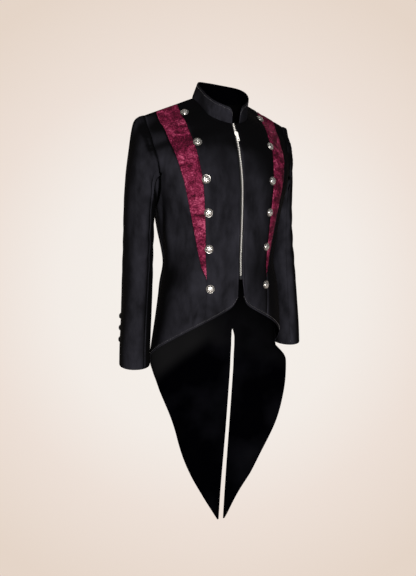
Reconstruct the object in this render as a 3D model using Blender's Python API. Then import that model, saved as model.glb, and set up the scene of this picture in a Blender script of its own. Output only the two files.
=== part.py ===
"""A stand-collar velvet tailcoat, filled out as worn and empty inside.

Sizes are in millimetres and become metres when a mesh is made. +X is the wearer's left, -Y the front,
+Z up. The origin is the middle of the neck, level with the points where the shoulder seams meet the collar.
"""

from collections import namedtuple
from math import acos, asin, cos, degrees, pi, radians, sin, sqrt

import bpy
import numpy as np
from mathutils import Matrix, Vector
from mathutils.geometry import tessellate_polygon

for old in list(bpy.data.objects):
    bpy.data.objects.remove(old)

MM = 0.001
RIGHT, LEFT = -1, 1
SIDES = {"right": RIGHT, "left": LEFT}

# Cloth
WALL = 2.0
COLLAR_WALL = 2.4
SEAM_GAP = 0.3
SLEEVE_SEAM_GAP = 1.0

# The coat's cut
BODY_AXIS_Y = 8.0
ZIP_EDGE = 4.0
ZIP_BOTTOM = -417.0
FRONT_HEM = -474.0
SIDE_HEM = -628.0
TAIL_TIP = -1168.0
VENT_TOP = -600.0
VENT_GAP_TOP = 10.0
VENT_GAP_TIP = 14.0
INSET_TIP = -438.0

# Levels of the body, from the tail tips to the ridge of the shoulders. mid and side are a level's heights
# at its centre and at its side, half its half width, front and back its depths from the body axis, square
# its squareness (2 is an ellipse), drop how straight it slopes to the side (1 is straight), and sway how
# far the middle of the back hangs towards the wearer's left. even is 1 where the whole level hangs that way,
# and 0 where the hang fades out towards the front.
Level = namedtuple("Level", "mid side half front back square drop sway even")
LEVELS = [
    Level(-1200, -1200, 150, 60, 38, 2.0, 2.0, 30, 1),
    Level(-1050, -1050, 172, 66, 42, 2.0, 2.0, 40, 1),
    Level(-850, -850, 195, 80, 50, 2.0, 2.0, 60, 0.84),
    Level(-720, -720, 202, 94, 56, 2.0, 2.0, 74, 0.41),
    Level(-678, -678, 200, 103, 59, 2.0, 2.0, 78, 0.22),
    Level(-643, -643, 187, 110, 61, 2.0, 2.0, 82, -0.08),
    Level(-620, -620, 186, 114, 62, 2.1, 2.0, 82, -0.08),
    Level(-540, -540, 173, 126, 72, 2.2, 2.0, 66, -0.04),
    Level(-460, -460, 159, 131, 80, 2.2, 2.0, 28, 0),
    Level(-385, -385, 145, 128, 82, 2.2, 2.0, 0, 0),
    Level(-315, -315, 157, 131, 92, 2.2, 2.0, 0, 0),
    Level(-255, -258, 166, 133, 100, 2.3, 2.0, 0, 0),
    Level(-195, -210, 180, 130, 104, 2.4, 2.0, 0, 0),
    Level(-135, -170, 196, 115, 104, 2.3, 1.8, 0, 0),
    Level(-100, -150, 202, 100, 101, 2.2, 1.6, 0, 0),
    Level(-70, -134, 206, 83, 95, 2.0, 1.45, 0, 0),
    Level(-39, -112, 209, 62, 81, 2.0, 1.3, 0, 0),
    Level(-6, -90, 209, 31, 55, 2.0, 1.15, 0, 0),
    Level(12, -71, 207, 15, 27, 2.0, 1.05, 0, 0),
    Level(20, -62, 205.5, 7, 11, 2.0, 1.0, 0, 0),
    Level(22, -59, 205, 0, 0, 2.0, 1.0, 0, 0),
]
TOP = len(LEVELS) - 1.0

# The burgundy inset's inner and outer seams, as distances from the centre front.
Inset = namedtuple("Inset", "level inner outer")
INSETS = [
    Inset(-640, 92, 92),
    Inset(-438, 81, 81),
    Inset(-400, 81, 90),
    Inset(-300, 85, 110),
    Inset(-200, 92, 129.5),
    Inset(-120, 99.5, 143),
    Inset(-50, 105, 151),
    Inset(22, 108, 160),
]

# The hem, from the centre front round the side to the tip of the tail. turn is -1 at the centre front,
# 0 at the side seam and 1 at the centre back.
Hem = namedtuple("Hem", "turn level")
HEMS = [
    Hem(-0.97, -474),
    Hem(-0.93, -492),
    Hem(-0.80, -513),
    Hem(-0.60, -540),
    Hem(-0.35, -575),
    Hem(-0.15, -603),
    Hem(0.0, -628),
]
TAIL_EDGES = [
    Hem(0.0, -628),
    Hem(0.02, -668),
    Hem(0.13, -715),
    Hem(0.27, -800),
    Hem(0.4, -900),
    Hem(0.577, -1000),
    Hem(0.76, -1085),
    Hem(0.954, -1168),
]

# The armhole's plane, through the shoulder tip and the underarm.
ARMHOLE_TOP = (186.0, -52.0)
ARMHOLE_LOW = (166.0, -257.0)

# The neck seam: level where the shoulders' ridge meets it, sloping down to the front and up to the back.
NECK_LEVEL = -7.0
NECK_SLOPE_FRONT = 0.84
NECK_SLOPE_BACK = 0.13
COLLAR_RIGHT_END = 2.0
COLLAR_LEFT_END = 19.0
COLLAR_CORNER = 10.0
COLLAR_SOFTENING = 9
# The collar along its seam, from the right front round the back to the left front: how high it stands and
# how far it leans in, for each millimetre it rises.
Stand = namedtuple("Stand", "height lean")
STANDS = [Stand(33, -0.12), Stand(35, 0.02), Stand(41, 0.08), Stand(42, 0.20), Stand(38, -0.06),
          Stand(35, -0.25), Stand(35, -0.15)]

# Sleeve sections from the armhole to the cuff, each between its outermost and its innermost point. y is the
# middle of its depth, deep its half size fore and aft, and fit how far it has changed from the armhole's
# own outline to an ellipse. swing and tuck are how much further back the left sleeve hangs, and how much
# flatter it lies.
Sleeve = namedtuple("Sleeve", "out_x out_z in_x in_z y deep fit swing tuck")
SLEEVES = [
    Sleeve(199, -56, 168.0, -262, 6, 58, 0.10, 0, 0),
    Sleeve(211, -66, 168.4, -265, 7, 58, 0.30, 0, 8),
    Sleeve(220, -92, 168.8, -269, 8, 58, 0.55, 2, 20),
    Sleeve(226, -130, 168.8, -274, 8, 58, 0.80, 5, 21),
    Sleeve(232, -178, 169.1, -281, 9, 57, 1.0, 10, 20),
    Sleeve(237, -232, 169.4, -292, 9, 56, 1.0, 16, 18),
    Sleeve(240, -285, 170, -312, 9, 55, 1.0, 22, 12),
    Sleeve(243, -345, 171.5, -355, 9, 54, 1.0, 26, 6),
    Sleeve(248, -420, 175, -420, 9, 53, 1.0, 27, 1),
    Sleeve(254, -500, 181, -500, 8, 52, 1.0, 25, 0),
    Sleeve(261, -580, 187, -580, 6, 50, 1.0, 22, 0),
    Sleeve(264, -640, 190, -640, 4, 49, 1.0, 20, 0),
]
FORE_SEAM = -20.0
HIND_SEAM = 200.0

# Mesh density, and how closely the bends of a panel's ends stay to them
EDGE_FADE = 3
SIDE_ROWS = 13
ARMHOLE_ROWS = 9
TAIL_ROWS = 12
FRONT_COLUMNS = 6
NECK_ROWS = 6
INSET_COLUMNS = 2
SIDE_COLUMNS = 5
BACK_NECK_COLUMNS = 4
SLEEVE_RINGS = 16
TOP_SLEEVE_COLUMNS = 12
UNDER_SLEEVE_COLUMNS = 7
COLLAR_COLUMNS = 22
COLLAR_END_COLUMNS = [0.0, 1.0, 2.8, 5.4, 9.0]
COLLAR_ROWS = 3

# Fittings
BUTTON_RADIUS = 10.0
BUTTON_HEIGHT = 6.0
BUTTON_LIFTS = [0.85, 0.15, 0.2, 0.3, 0.45, 0.1]
BUTTON_INSET = 7.0
BUTTON_LEVELS = [-12, -104, -196, -272, -354, -446]
CUFF_BUTTON_RADIUS = 7.0
CUFF_BUTTON_HEIGHT = 4.0
CUFF_BUTTON_TURN = 82.0
CUFF_BUTTON_LEVELS = [-522, -551, -580]
CUFF_BUTTON_LIFTS = [0.05, 0.25, 0.3]
CHAIN_HALF = 3.0
CHAIN_DEPTHS = (0.2, 2.2)
TAPE_DEPTHS = (2.8, 3.7)
TAPE_EDGES = (0.4, 14.0)
ZIP_ROWS = 20
RETAINER_DROP = 5.4
SLIDER_LEVEL = -97.0
SLIDER_HEIGHTS = (0.5, 2.1)
SLIDER_OUTLINE = [(-2.6, -7.0), (2.6, -7.0), (3.6, -3.0), (4.6, 3.0), (4.2, 6.0), (2.0, 7.0),
                  (-2.0, 7.0), (-4.2, 6.0), (-4.6, 3.0), (-3.6, -3.0)]
BAIL_HALF_WIDTH = 0.9
BAIL_HALF_LENGTH = 3.4
BAIL_TOP = 5.4
TAB_HINGE_HEIGHT = 3.25
TAB_THICKNESS = 1.2
TAB_HALF_WIDTH = 3.0
TAB_LENGTH = 19.0
TAB_EYE = 5.2
TAB_HOLE = 1.7


def smooth(table, column, at):
    """A column of a table at a place between its rows, on a curve that runs through every row."""
    row = int(min(max(at, 0), len(table) - 1.000001))
    u = at - row
    values = [getattr(table[min(max(row + step, 0), len(table) - 1)], column) for step in (-1, 0, 1, 2)]
    before, start, end, after = values
    leave, arrive = (end - before) / 2, (after - start) / 2
    rise = end - start
    if rise * leave <= 0:
        leave = 0.0
    if rise * arrive <= 0:
        arrive = 0.0
    limit = 3 * abs(rise)
    leave, arrive = (max(-limit, min(limit, slope)) for slope in (leave, arrive))
    return (
        start
        + leave * u
        + (3 * rise - 2 * leave - arrive) * u * u
        + (leave + arrive - 2 * rise) * u * u * u
    )


def place_in(table, column, value):
    """The place between a table's rows where a steadily changing column has this value."""
    low, high = 0.0, len(table) - 1.0
    rising = getattr(table[-1], column) > getattr(table[0], column)
    for _ in range(50):
        middle = (low + high) / 2
        if (smooth(table, column, middle) < value) == rising:
            low = middle
        else:
            high = middle
    return (low + high) / 2


def level_at(height):
    return place_in(LEVELS, "mid", height)


def body_point(side, turn, level):
    """A point of the coat's outer surface, before the walls are given their thickness."""
    half, square = smooth(LEVELS, "half", level), smooth(LEVELS, "square", level)
    mid, low = smooth(LEVELS, "mid", level), smooth(LEVELS, "side", level)
    depth = smooth(LEVELS, "back" if turn > 0 else "front", level)
    angle = turn * pi / 2
    across = abs(cos(angle)) ** (2 / square)
    along = abs(sin(angle)) ** (2 / square)
    past_middle = -1 if abs(turn) > 1 else 1
    even = smooth(LEVELS, "even", level)
    sway = smooth(LEVELS, "sway", level) * (even + (1 - even) * (max(0.0, turn + 1) / 2) ** 4)
    x = side * half * across * past_middle + sway
    y = BODY_AXIS_Y + (depth if turn > 0 else -depth) * along
    z = mid + (low - mid) * across ** smooth(LEVELS, "drop", level)
    return np.array([x, y, z])


def body_normal(side, turn, level):
    """The outward direction of the surface, from two short steps along it. On the shoulders' ridge it is
    midway between the front's and the back's."""
    if level > TOP - 0.05:
        both = body_normal(side, turn, TOP - 0.12) + body_normal(side, -turn, TOP - 0.12)
        return both / np.linalg.norm(both)
    step_turn, step_level = 0.004, 0.01
    level = max(level, step_level)
    across = body_point(side, turn + step_turn, level) - body_point(side, turn - step_turn, level)
    up = body_point(side, turn, level + step_level) - body_point(side, turn, level - step_level)
    normal = np.cross(across, up) * side
    return normal / np.linalg.norm(normal)


def turn_at(distance, level, front=True):
    """The turn at which a level lies this far from the centre front or the centre back."""
    half, square = smooth(LEVELS, "half", level), smooth(LEVELS, "square", level)
    turn = acos(min(1.0, (distance / half)) ** (square / 2)) / (pi / 2)
    return -turn if front else turn


def crossing(inside, low, high):
    """The value between low and high where inside changes from true to false."""
    for _ in range(40):
        middle = (low + high) / 2
        if inside(middle):
            low = middle
        else:
            high = middle
    return (low + high) / 2


# The armhole and the neck seam are flat cuts through the body's surface.
ARMHOLE_RUN = np.array([ARMHOLE_TOP[0] - ARMHOLE_LOW[0], 0.0, ARMHOLE_TOP[1] - ARMHOLE_LOW[1]])
ARMHOLE_UP = ARMHOLE_RUN / np.linalg.norm(ARMHOLE_RUN)
ARMHOLE_OUT = np.array([ARMHOLE_UP[2], 0.0, -ARMHOLE_UP[0]])
ARMHOLE_MIDDLE = np.array(
    [(ARMHOLE_TOP[0] + ARMHOLE_LOW[0]) / 2, 6.0, (ARMHOLE_TOP[1] + ARMHOLE_LOW[1]) / 2]
)


def in_body(turn, level):
    """Whether a point of the left half lies on the body's side of the armhole."""
    return (body_point(LEFT, turn, level) - ARMHOLE_MIDDLE) @ ARMHOLE_OUT < 0


def neck_height(y):
    return NECK_LEVEL + y * (NECK_SLOPE_FRONT if y < 0 else NECK_SLOPE_BACK)


def under_neck(turn, level):
    """Whether a point lies below the neck seam."""
    point = body_point(LEFT, turn, level)
    return point[2] < neck_height(point[1])


UNDERARM = crossing(lambda level: in_body(0.0, level), level_at(-330.0), level_at(-190.0))
RIDGE = TOP - 0.02
TIP_TURN = crossing(lambda turn: in_body(turn, RIDGE), -0.9, -0.001)
NECK_TURN = crossing(lambda turn: not under_neck(turn, RIDGE), -0.999, -0.3)


def armhole_turn(level, front):
    sign = -1 if front else 1
    return crossing(lambda turn: in_body(turn, level), sign * 0.95, 0.0)


def neck_level(turn):
    return crossing(lambda level: under_neck(turn, level), level_at(-180.0), RIDGE)


def hem_level(table, turn):
    return level_at(smooth(table, "level", place_in(table, "turn", turn)))


def inset_edge(column, level):
    height = smooth(LEVELS, "mid", level)
    return turn_at(smooth(INSETS, column, place_in(INSETS, "level", height)), level)


def spaced(start, end, count):
    return [start + (end - start) * i / count for i in range(count + 1)]


# Seam lines, as lists of (turn, level) places on the surface.
def evenly(places, count):
    """Places spaced evenly, by distance over the surface, along a track of many places."""
    places = np.array(places, float)
    points = np.array([body_point(LEFT, turn, level) for turn, level in places])
    run = np.concatenate([[0.0], np.cumsum(np.linalg.norm(np.diff(points, axis=0), axis=1))])
    wanted = np.linspace(0.0, run[-1], count + 1)
    return list(zip(np.interp(wanted, run, places[:, 0]), np.interp(wanted, run, places[:, 1])))


def side_line():
    return [(0.0, level) for level in spaced(hem_level(HEMS, 0.0), UNDERARM, SIDE_ROWS)]


def armhole_track(front):
    """Many places round the armhole, from the underarm to the shoulder tip."""
    sign = -1 if front else 1
    track = []
    for turn in spaced(0.0, 0.3 * sign, 14):
        track.append((turn, crossing(lambda level: in_body(turn, level), level_at(-330.0), level_at(-170.0))))
    for level in spaced(track[-1][1], RIDGE, 50)[1:-1]:
        track.append((armhole_turn(level, front), level))
    return track + [(TIP_TURN if front else -TIP_TURN, RIDGE)]


def armhole_line(front):
    return evenly(armhole_track(front), ARMHOLE_ROWS)[1:]


ROWS = SIDE_ROWS + ARMHOLE_ROWS


def seam_levels():
    """Levels of the seams beside the inset: the hem, the inset's tip and the shoulder are among them."""
    tip = level_at(INSET_TIP)
    hem = hem_level(HEMS, inset_edge("inner", level_at(-535.0)))
    high = [(inset_edge("inner", level), level) for level in spaced(UNDERARM, RIDGE, 60)]
    low = spaced(hem, tip, 3) + spaced(tip + 0.15, UNDERARM, SIDE_ROWS - 4)[:-1]
    return low + [level for _, level in evenly(high, ARMHOLE_ROWS)]


SEAM_LEVELS = seam_levels()
INSET_ROW = 4


def inset_line(column):
    """A seam beside the inset, from the hem. Below the inset's tip both seams are one."""
    tip = level_at(INSET_TIP)
    return [(inset_edge(column if level > tip else "inner", level), level) for level in SEAM_LEVELS]


def centre_front_line():
    """The front edge: up from the rounded corner of the hem, along the zip, then round the neck seam."""
    top = neck_level(turn_at(ZIP_EDGE, level_at(-73.0)))
    bottom = level_at(ZIP_BOTTOM)
    corner = HEMS[0]
    low = spaced(level_at(corner.level), bottom, 2)
    spread = turn_at(ZIP_EDGE, bottom) - corner.turn
    opened = [corner.turn + spread * (i / 2) ** 0.6 for i in range(3)]
    zip_edge = [(turn_at(ZIP_EDGE, level), level) for level in spaced(bottom, top, 60)]
    neck = [(turn, neck_level(turn)) for turn in spaced(zip_edge[-1][0], NECK_TURN - 0.002, 40)]
    neck[-1] = (NECK_TURN, RIDGE)
    return list(zip(opened, low)) + evenly(zip_edge, ROWS - 2 - NECK_ROWS)[1:] + evenly(neck, NECK_ROWS)[1:]


def ridge_turns():
    """The turns of the front panels' places along the shoulder, from the neck to the tip."""
    inner, outer = inset_line("inner")[-1][0], inset_line("outer")[-1][0]
    return (
        spaced(NECK_TURN, inner, FRONT_COLUMNS)
        + spaced(inner, outer, INSET_COLUMNS)[1:]
        + spaced(outer, TIP_TURN, SIDE_COLUMNS)[1:]
    )


def hem_line(table, start, end, columns):
    return [(turn, hem_level(table, turn)) for turn in spaced(start, end, columns)]


def patch(left, right, bottom, top):
    """Places between four edges: straight across from left to right, bent to the bottom and top near them."""
    left, right, bottom, top = (np.array(edge, float) for edge in (left, right, bottom, top))
    rise = np.linspace(0, 1, len(right))[:, None, None]
    width = np.linspace(0, 1, len(bottom))[None, :, None]
    across = (1 - width) * left[:, None] + width * right[:, None]
    return across + (1 - rise) ** EDGE_FADE * (bottom - across[0]) + rise**EDGE_FADE * (top - across[-1])


def pulled_in(points, gap, edges):
    """The grid with the named edges moved in by half a seam gap, square to the edge."""
    points = points.copy()
    moves = {"left": (np.s_[:, 0], np.s_[:, 1]), "right": (np.s_[:, -1], np.s_[:, -2]),
             "bottom": (np.s_[0], np.s_[1]), "top": (np.s_[-1], np.s_[-2])}
    for edge in edges:
        rim, next_to_it = moves[edge]
        along = np.gradient(points[rim], axis=0)
        along /= np.linalg.norm(along, axis=-1, keepdims=True)
        inward = points[next_to_it] - points[rim]
        inward -= along * (inward * along).sum(axis=-1, keepdims=True)
        points[rim] = points[rim] + inward / np.linalg.norm(inward, axis=-1, keepdims=True) * gap / 2
    return points


def mirrored(points, side):
    return points * np.array([side, 1, 1])


def beside_armhole(grid, side, away):
    """The points of a wall, with those above the underarm kept on the body's (-1) or the sleeve's (1) side."""
    grid = mirrored(grid, side)
    clear = away * ((grid - ARMHOLE_MIDDLE) @ ARMHOLE_OUT) - (SEAM_GAP if away > 0 else 0.0)
    high = (grid[..., 2] > ARMHOLE_LOW[1] - 4) & (grid[..., 0] > ARMHOLE_LOW[0] - 30)
    short = np.where(high, np.maximum(0.0, -clear), 0.0)
    return mirrored(grid + away * short[..., None] * ARMHOLE_OUT, side)


def add_material(name, colour, roughness, metallic=0.0):
    material = bpy.data.materials.new(name)
    material.use_nodes = True
    shader = material.node_tree.nodes["Principled BSDF"]
    shader.inputs["Base Color"].default_value = (*colour, 1.0)
    shader.inputs["Roughness"].default_value = roughness
    shader.inputs["Metallic"].default_value = metallic
    return material


VELVET = add_material("black velvet", (0.006, 0.006, 0.008), 0.75)
BURGUNDY = add_material("burgundy velvet", (0.11, 0.008, 0.03), 0.55)
SILVER = add_material("silvered metal", (0.62, 0.62, 0.60), 0.25, 1.0)
BLACK_METAL = add_material("blackened metal", (0.02, 0.02, 0.02), 0.4, 1.0)
BLACK_HORN = add_material("black moulded button", (0.01, 0.01, 0.012), 0.35)
TAPE = add_material("black woven tape", (0.01, 0.01, 0.011), 0.85)


def new_mesh(name, points, faces, material):
    mesh = bpy.data.meshes.new(name)
    mesh.from_pydata([tuple(point * MM) for point in points], [], faces)
    mesh.materials.append(material)
    mesh.shade_smooth()
    mesh.set_sharp_from_angle(angle=radians(40))
    return mesh


def link_object(name, mesh):
    thing = bpy.data.objects.new(name, mesh)
    bpy.context.scene.collection.objects.link(thing)
    return thing


def wall(name, outer, inner, material, flip):
    """A closed wall between two grids of points, rim and all."""
    rows, columns = outer.shape[:2]
    points = np.concatenate([outer.reshape(-1, 3), inner.reshape(-1, 3)])

    def index(layer, row, column):
        return layer * rows * columns + row * columns + column

    faces = []
    for j in range(rows - 1):
        for i in range(columns - 1):
            quad = [(j, i), (j, i + 1), (j + 1, i + 1), (j + 1, i)]
            a, b, c, d = (outer[place] for place in quad)
            if np.linalg.norm(a - c) > np.linalg.norm(b - d):
                quad = quad[1:] + quad[:1]
            for corners in ((quad[0], quad[1], quad[2]), (quad[0], quad[2], quad[3])):
                faces.append([index(0, *corner) for corner in corners])
                faces.append([index(1, *corner) for corner in reversed(corners)])
    rim = [(0, i) for i in range(columns)] + [(j, columns - 1) for j in range(1, rows)]
    rim += [(rows - 1, i) for i in range(columns - 2, -1, -1)] + [(j, 0) for j in range(rows - 2, 0, -1)]
    for here, there in zip(rim, rim[1:] + rim[:1]):
        faces.append([index(0, *there), index(0, *here), index(1, *here), index(1, *there)])
    if flip:
        faces = [list(reversed(face)) for face in faces]
    return link_object(name, new_mesh(name, points, faces, material))


def body_wall(name, side, places, edges, material, thickness=WALL, depth=0.0):
    """A panel of the body: the places' points on the surface, and the same points moved in by the wall."""
    layers = []
    for level_depth in (depth, depth + thickness):
        grid = np.zeros((*places.shape[:2], 3))
        for j, row in enumerate(places):
            for i, (turn, level) in enumerate(row):
                grid[j, i] = body_point(side, turn, level) - body_normal(side, turn, level) * level_depth
        grid = pulled_in(grid, SEAM_GAP, edges)
        grid = beside_armhole(grid, side, -1)
        if places[0, 0, 0] < 0:
            grid[..., 1] = np.minimum(grid[..., 1], BODY_AXIS_Y - SEAM_GAP / 2)
        else:
            grid[..., 1] = np.maximum(grid[..., 1], BODY_AXIS_Y + SEAM_GAP / 2)
        layers.append(grid)
    return wall(name, layers[0], layers[1], material, flip=side == RIGHT)


# Fronts: a centre panel from the zip to the inset's seam, a burgundy inset and a side panel, each cut in
# one from the shoulder to the hem.
def add_front(word, side):
    inner_line, outer_line = inset_line("inner"), inset_line("outer")
    edge = centre_front_line()
    hem_turn = inner_line[0][0]
    centre = patch(
        edge,
        inner_line,
        hem_line(HEMS, edge[0][0], hem_turn, FRONT_COLUMNS),
        spaced_places(edge[-1], inner_line[-1], FRONT_COLUMNS),
    )
    body_wall(f"front_{word}", side, centre, ("right", "top"), VELVET)

    inset = patch(
        inner_line[INSET_ROW:],
        outer_line[INSET_ROW:],
        spaced_places(inner_line[INSET_ROW], outer_line[INSET_ROW], INSET_COLUMNS),
        spaced_places(inner_line[-1], outer_line[-1], INSET_COLUMNS),
    )
    body_wall(f"inset_{word}", side, inset, ("left", "right", "top"), BURGUNDY)

    side_panel = patch(
        outer_line,
        side_line() + armhole_line(front=True),
        hem_line(HEMS, hem_turn, 0.0, SIDE_COLUMNS),
        spaced_places(outer_line[-1], (TIP_TURN, RIDGE), SIDE_COLUMNS),
    )
    body_wall(f"side_front_{word}", side, side_panel, ("left", "right", "top"), VELVET)


def spaced_places(start, end, columns):
    start, end = np.array(start), np.array(end)
    return [tuple(start + (end - start) * i / columns) for i in range(columns + 1)]


# Backs: each cut in one with its tail, from the neck to the tip, with the vent left open below the waist.
def vent_distance(level):
    height = smooth(LEVELS, "mid", level)
    if height > VENT_TOP:
        return SEAM_GAP / 2
    share = (VENT_TOP - height) / (VENT_TOP - TAIL_TIP)
    opened = min(1.0, (VENT_TOP - height) / 25.0) ** 0.5
    return opened * (VENT_GAP_TOP + (VENT_GAP_TIP - VENT_GAP_TOP) * share) / 2


def centre_back_line():
    vent = level_at(VENT_TOP)
    levels = spaced(level_at(TAIL_TIP), vent, TAIL_ROWS) + spaced(vent, UNDERARM, SIDE_ROWS)[1:]
    above = [(1.0, level) for level in spaced(UNDERARM, neck_level(0.9995), 60)]
    levels += [level for _, level in evenly(above, ARMHOLE_ROWS)][1:]
    return [(turn_at(vent_distance(level), level, front=False), level) for level in levels]


def tail_line():
    """The outer edge of a tail, from its tip up to the side seam."""
    rows = spaced(len(TAIL_EDGES) - 1.0, 0.0, TAIL_ROWS)
    return [(smooth(TAIL_EDGES, "turn", row), level_at(smooth(TAIL_EDGES, "level", row))) for row in rows]


def add_back(word, side):
    inner_line = centre_back_line()
    outer_line = tail_line() + side_line()[1:] + armhole_line(front=False)
    neck = [(turn, neck_level(turn)) for turn in spaced(inner_line[-1][0], 0.002 - NECK_TURN, 30)]
    top = evenly(neck, BACK_NECK_COLUMNS)[:-1] + [(-turn, RIDGE) for turn in ridge_turns()]
    bottom = spaced_places(inner_line[0], outer_line[0], len(top) - 1)
    places = patch(inner_line, outer_line, bottom, top)
    back = places[:, ::-1]
    body_wall(f"back_{word}", side, back, ("left", "top"), VELVET)


# Sleeves: a top sleeve and an under sleeve, joined by a fore seam and a hind seam.
def armhole_outline():
    """The armhole as angles and points about its middle, seen from outside."""
    found = []
    for turn, level in armhole_track(True) + armhole_track(False)[1:-1]:
        point = body_point(LEFT, turn, level) - ARMHOLE_MIDDLE
        found.append((degrees(np.arctan2(point @ ARMHOLE_UP, -point[1])) % 360, point))
    return sorted(found, key=lambda pair: pair[0])


ARMHOLE = armhole_outline()
ARMHOLE_ANGLES = np.array([angle for angle, _ in ARMHOLE])
ARMHOLE_POINTS = np.array([point for _, point in ARMHOLE])


ARMHOLE_REACH = max(point @ ARMHOLE_UP for _, point in ARMHOLE)
ARMHOLE_DEEP = (max(point[1] for _, point in ARMHOLE) - min(point[1] for _, point in ARMHOLE)) / 2


def armhole_point(angle):
    """The armhole's point at this angle: 0 is the front, 90 the shoulder and 270 the underarm."""
    return np.array([
        np.interp(angle % 360, ARMHOLE_ANGLES, ARMHOLE_POINTS[:, k], period=360) for k in range(3)
    ])


def sleeve_point(side, angle, at):
    """A point of a sleeve's outer surface: at is 0 at the armhole and counts the sections."""
    start = ARMHOLE_MIDDLE + armhole_point(angle) + ARMHOLE_OUT * SEAM_GAP
    if at <= 0:
        return mirrored(start, side)
    section = min(max(at - 1, 0.0), len(SLEEVES) - 1.0)
    outer, inner = (
        np.array([smooth(SLEEVES, f"{end}_x", section), 0.0, smooth(SLEEVES, f"{end}_z", section)])
        for end in ("out", "in")
    )
    swing, tuck = (smooth(SLEEVES, column, section) * (side == LEFT) for column in ("swing", "tuck"))
    outer[0] -= tuck
    over = (outer - inner) / np.linalg.norm(outer - inner)
    wide = np.linalg.norm(outer - inner) / 2
    middle = (outer + inner) / 2 + np.array([0.0, smooth(SLEEVES, "y", section) + swing, 0.0])
    deep, fit = smooth(SLEEVES, "deep", section), smooth(SLEEVES, "fit", section)
    oval = np.array([0.0, -deep * cos(radians(angle)), 0.0]) + over * wide * sin(radians(angle))
    cut = armhole_point(angle)
    stretch = wide / ARMHOLE_REACH
    cut = np.array([0.0, cut[1] * deep / ARMHOLE_DEEP, 0.0]) + over * (cut @ ARMHOLE_UP) * stretch
    point = middle + cut * (1 - fit) + oval * fit
    if at < 1:
        point = start + (point - start) * at
    return mirrored(point, side)


def sleeve_normal(side, angle, at):
    step_angle, step_at = 1.0, 0.02
    at = max(at, step_at)
    round_way = sleeve_point(side, angle + step_angle, at) - sleeve_point(side, angle - step_angle, at)
    down = sleeve_point(side, angle, at + step_at) - sleeve_point(side, angle, at - step_at)
    if np.linalg.norm(down) < 1e-6:
        down = sleeve_point(side, angle, at) - sleeve_point(side, angle, at - step_at)
    normal = np.cross(down, round_way) * side
    return normal / np.linalg.norm(normal)


def add_sleeve(word, side):
    angles = spaced(FORE_SEAM, HIND_SEAM, TOP_SLEEVE_COLUMNS)
    angles += spaced(HIND_SEAM, FORE_SEAM + 360, UNDER_SLEEVE_COLUMNS)[1:]
    rings = spaced(0.0, len(SLEEVES) + 0.0, SLEEVE_RINGS)
    outer = np.array([[sleeve_point(side, angle, at) for angle in angles] for at in rings])
    around = np.empty_like(outer)
    around[:, :-1] = np.roll(outer[:, :-1], -1, axis=1) - np.roll(outer[:, :-1], 1, axis=1)
    around[:, -1] = around[:, 0]
    inward = np.cross(around, np.gradient(outer, axis=0)) * side
    inner = outer + inward / np.linalg.norm(inward, axis=-1, keepdims=True) * WALL
    pieces = {"top_sleeve": np.s_[:, :TOP_SLEEVE_COLUMNS + 1], "under_sleeve": np.s_[:, TOP_SLEEVE_COLUMNS:]}
    for name, part in pieces.items():
        layers = [
            pulled_in(beside_armhole(grid[part], side, 1), SLEEVE_SEAM_GAP, ("left", "right"))
            for grid in (outer, inner)
        ]
        wall(f"{name}_{word}", *layers, VELVET, flip=side == LEFT)


# The stand collar: a strip that stands on the neck seam, with a rounded corner at each end.
def neck_curve():
    """Points of the neck seam from the right front end round the back to the left front end."""
    halves = []
    for side, end in ((RIGHT, COLLAR_RIGHT_END), (LEFT, COLLAR_LEFT_END)):
        front = turn_at(end, neck_level(-0.97))
        half = [body_point(side, turn, neck_level(turn)) for turn in spaced(front, NECK_TURN - 0.004, 14)]
        half += [body_point(side, turn, neck_level(turn)) for turn in spaced(0.004 - NECK_TURN, 1.0, 12)]
        halves.append(half)
    return np.array(halves[0] + halves[1][-2::-1])


def resampled(points, steps):
    """Points at these distances along a line."""
    run = np.concatenate([[0.0], np.cumsum(np.linalg.norm(np.diff(points, axis=0), axis=1))])
    return np.array([[np.interp(step, run, points[:, k]) for k in range(3)] for step in steps])


def add_collar():
    curve = neck_curve()
    length = np.linalg.norm(np.diff(curve, axis=0), axis=1).sum()
    ends = COLLAR_END_COLUMNS
    run = ends[:-1] + spaced(ends[-1], length - ends[-1], COLLAR_COLUMNS) + [length - end for end in ends[-2::-1]]
    even = resampled(curve, spaced(0.0, length, COLLAR_COLUMNS + 8))
    for _ in range(COLLAR_SOFTENING):
        even[1:-1] = (even[:-2] + 2 * even[1:-1] + even[2:]) / 4
    line, softer = resampled(curve, run), np.array([
        [np.interp(step, spaced(0.0, length, COLLAR_COLUMNS + 8), even[:, k]) for k in range(3)] for step in run
    ])
    count = len(run) - 1
    layers = []
    for depth in (0.0, COLLAR_WALL):
        grid = np.zeros((COLLAR_ROWS + 1, count + 1, 3))
        for i, point in enumerate(line):
            place = run[i] / length * (len(STANDS) - 1)
            cut = max(0.0, COLLAR_CORNER - min(run[i], length - run[i]))
            height = smooth(STANDS, "height", place) - COLLAR_CORNER + sqrt(COLLAR_CORNER**2 - cut**2)
            lean = smooth(STANDS, "lean", place)
            along = softer[min(i + 1, count)] - softer[max(i - 1, 0)]
            outward = np.array([-along[1], along[0], 0.0])
            outward /= np.linalg.norm(outward)
            up = np.array([0.0, 0.0, 1.0]) - outward * lean
            up /= np.linalg.norm(up)
            facing = outward - up * (outward @ up)
            facing /= np.linalg.norm(facing)
            for j in range(COLLAR_ROWS + 1):
                share = j / COLLAR_ROWS
                base = point * (1 - share) + softer[i] * share
                grid[j, i] = base + up * (SEAM_GAP + height * share) - facing * depth
            grid[0, i, 2] = max(grid[0, i, 2], neck_height(grid[0, i, 1]) + SEAM_GAP)
        layers.append(grid)
    wall("collar", layers[0], layers[1], VELVET, flip=True)


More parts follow.
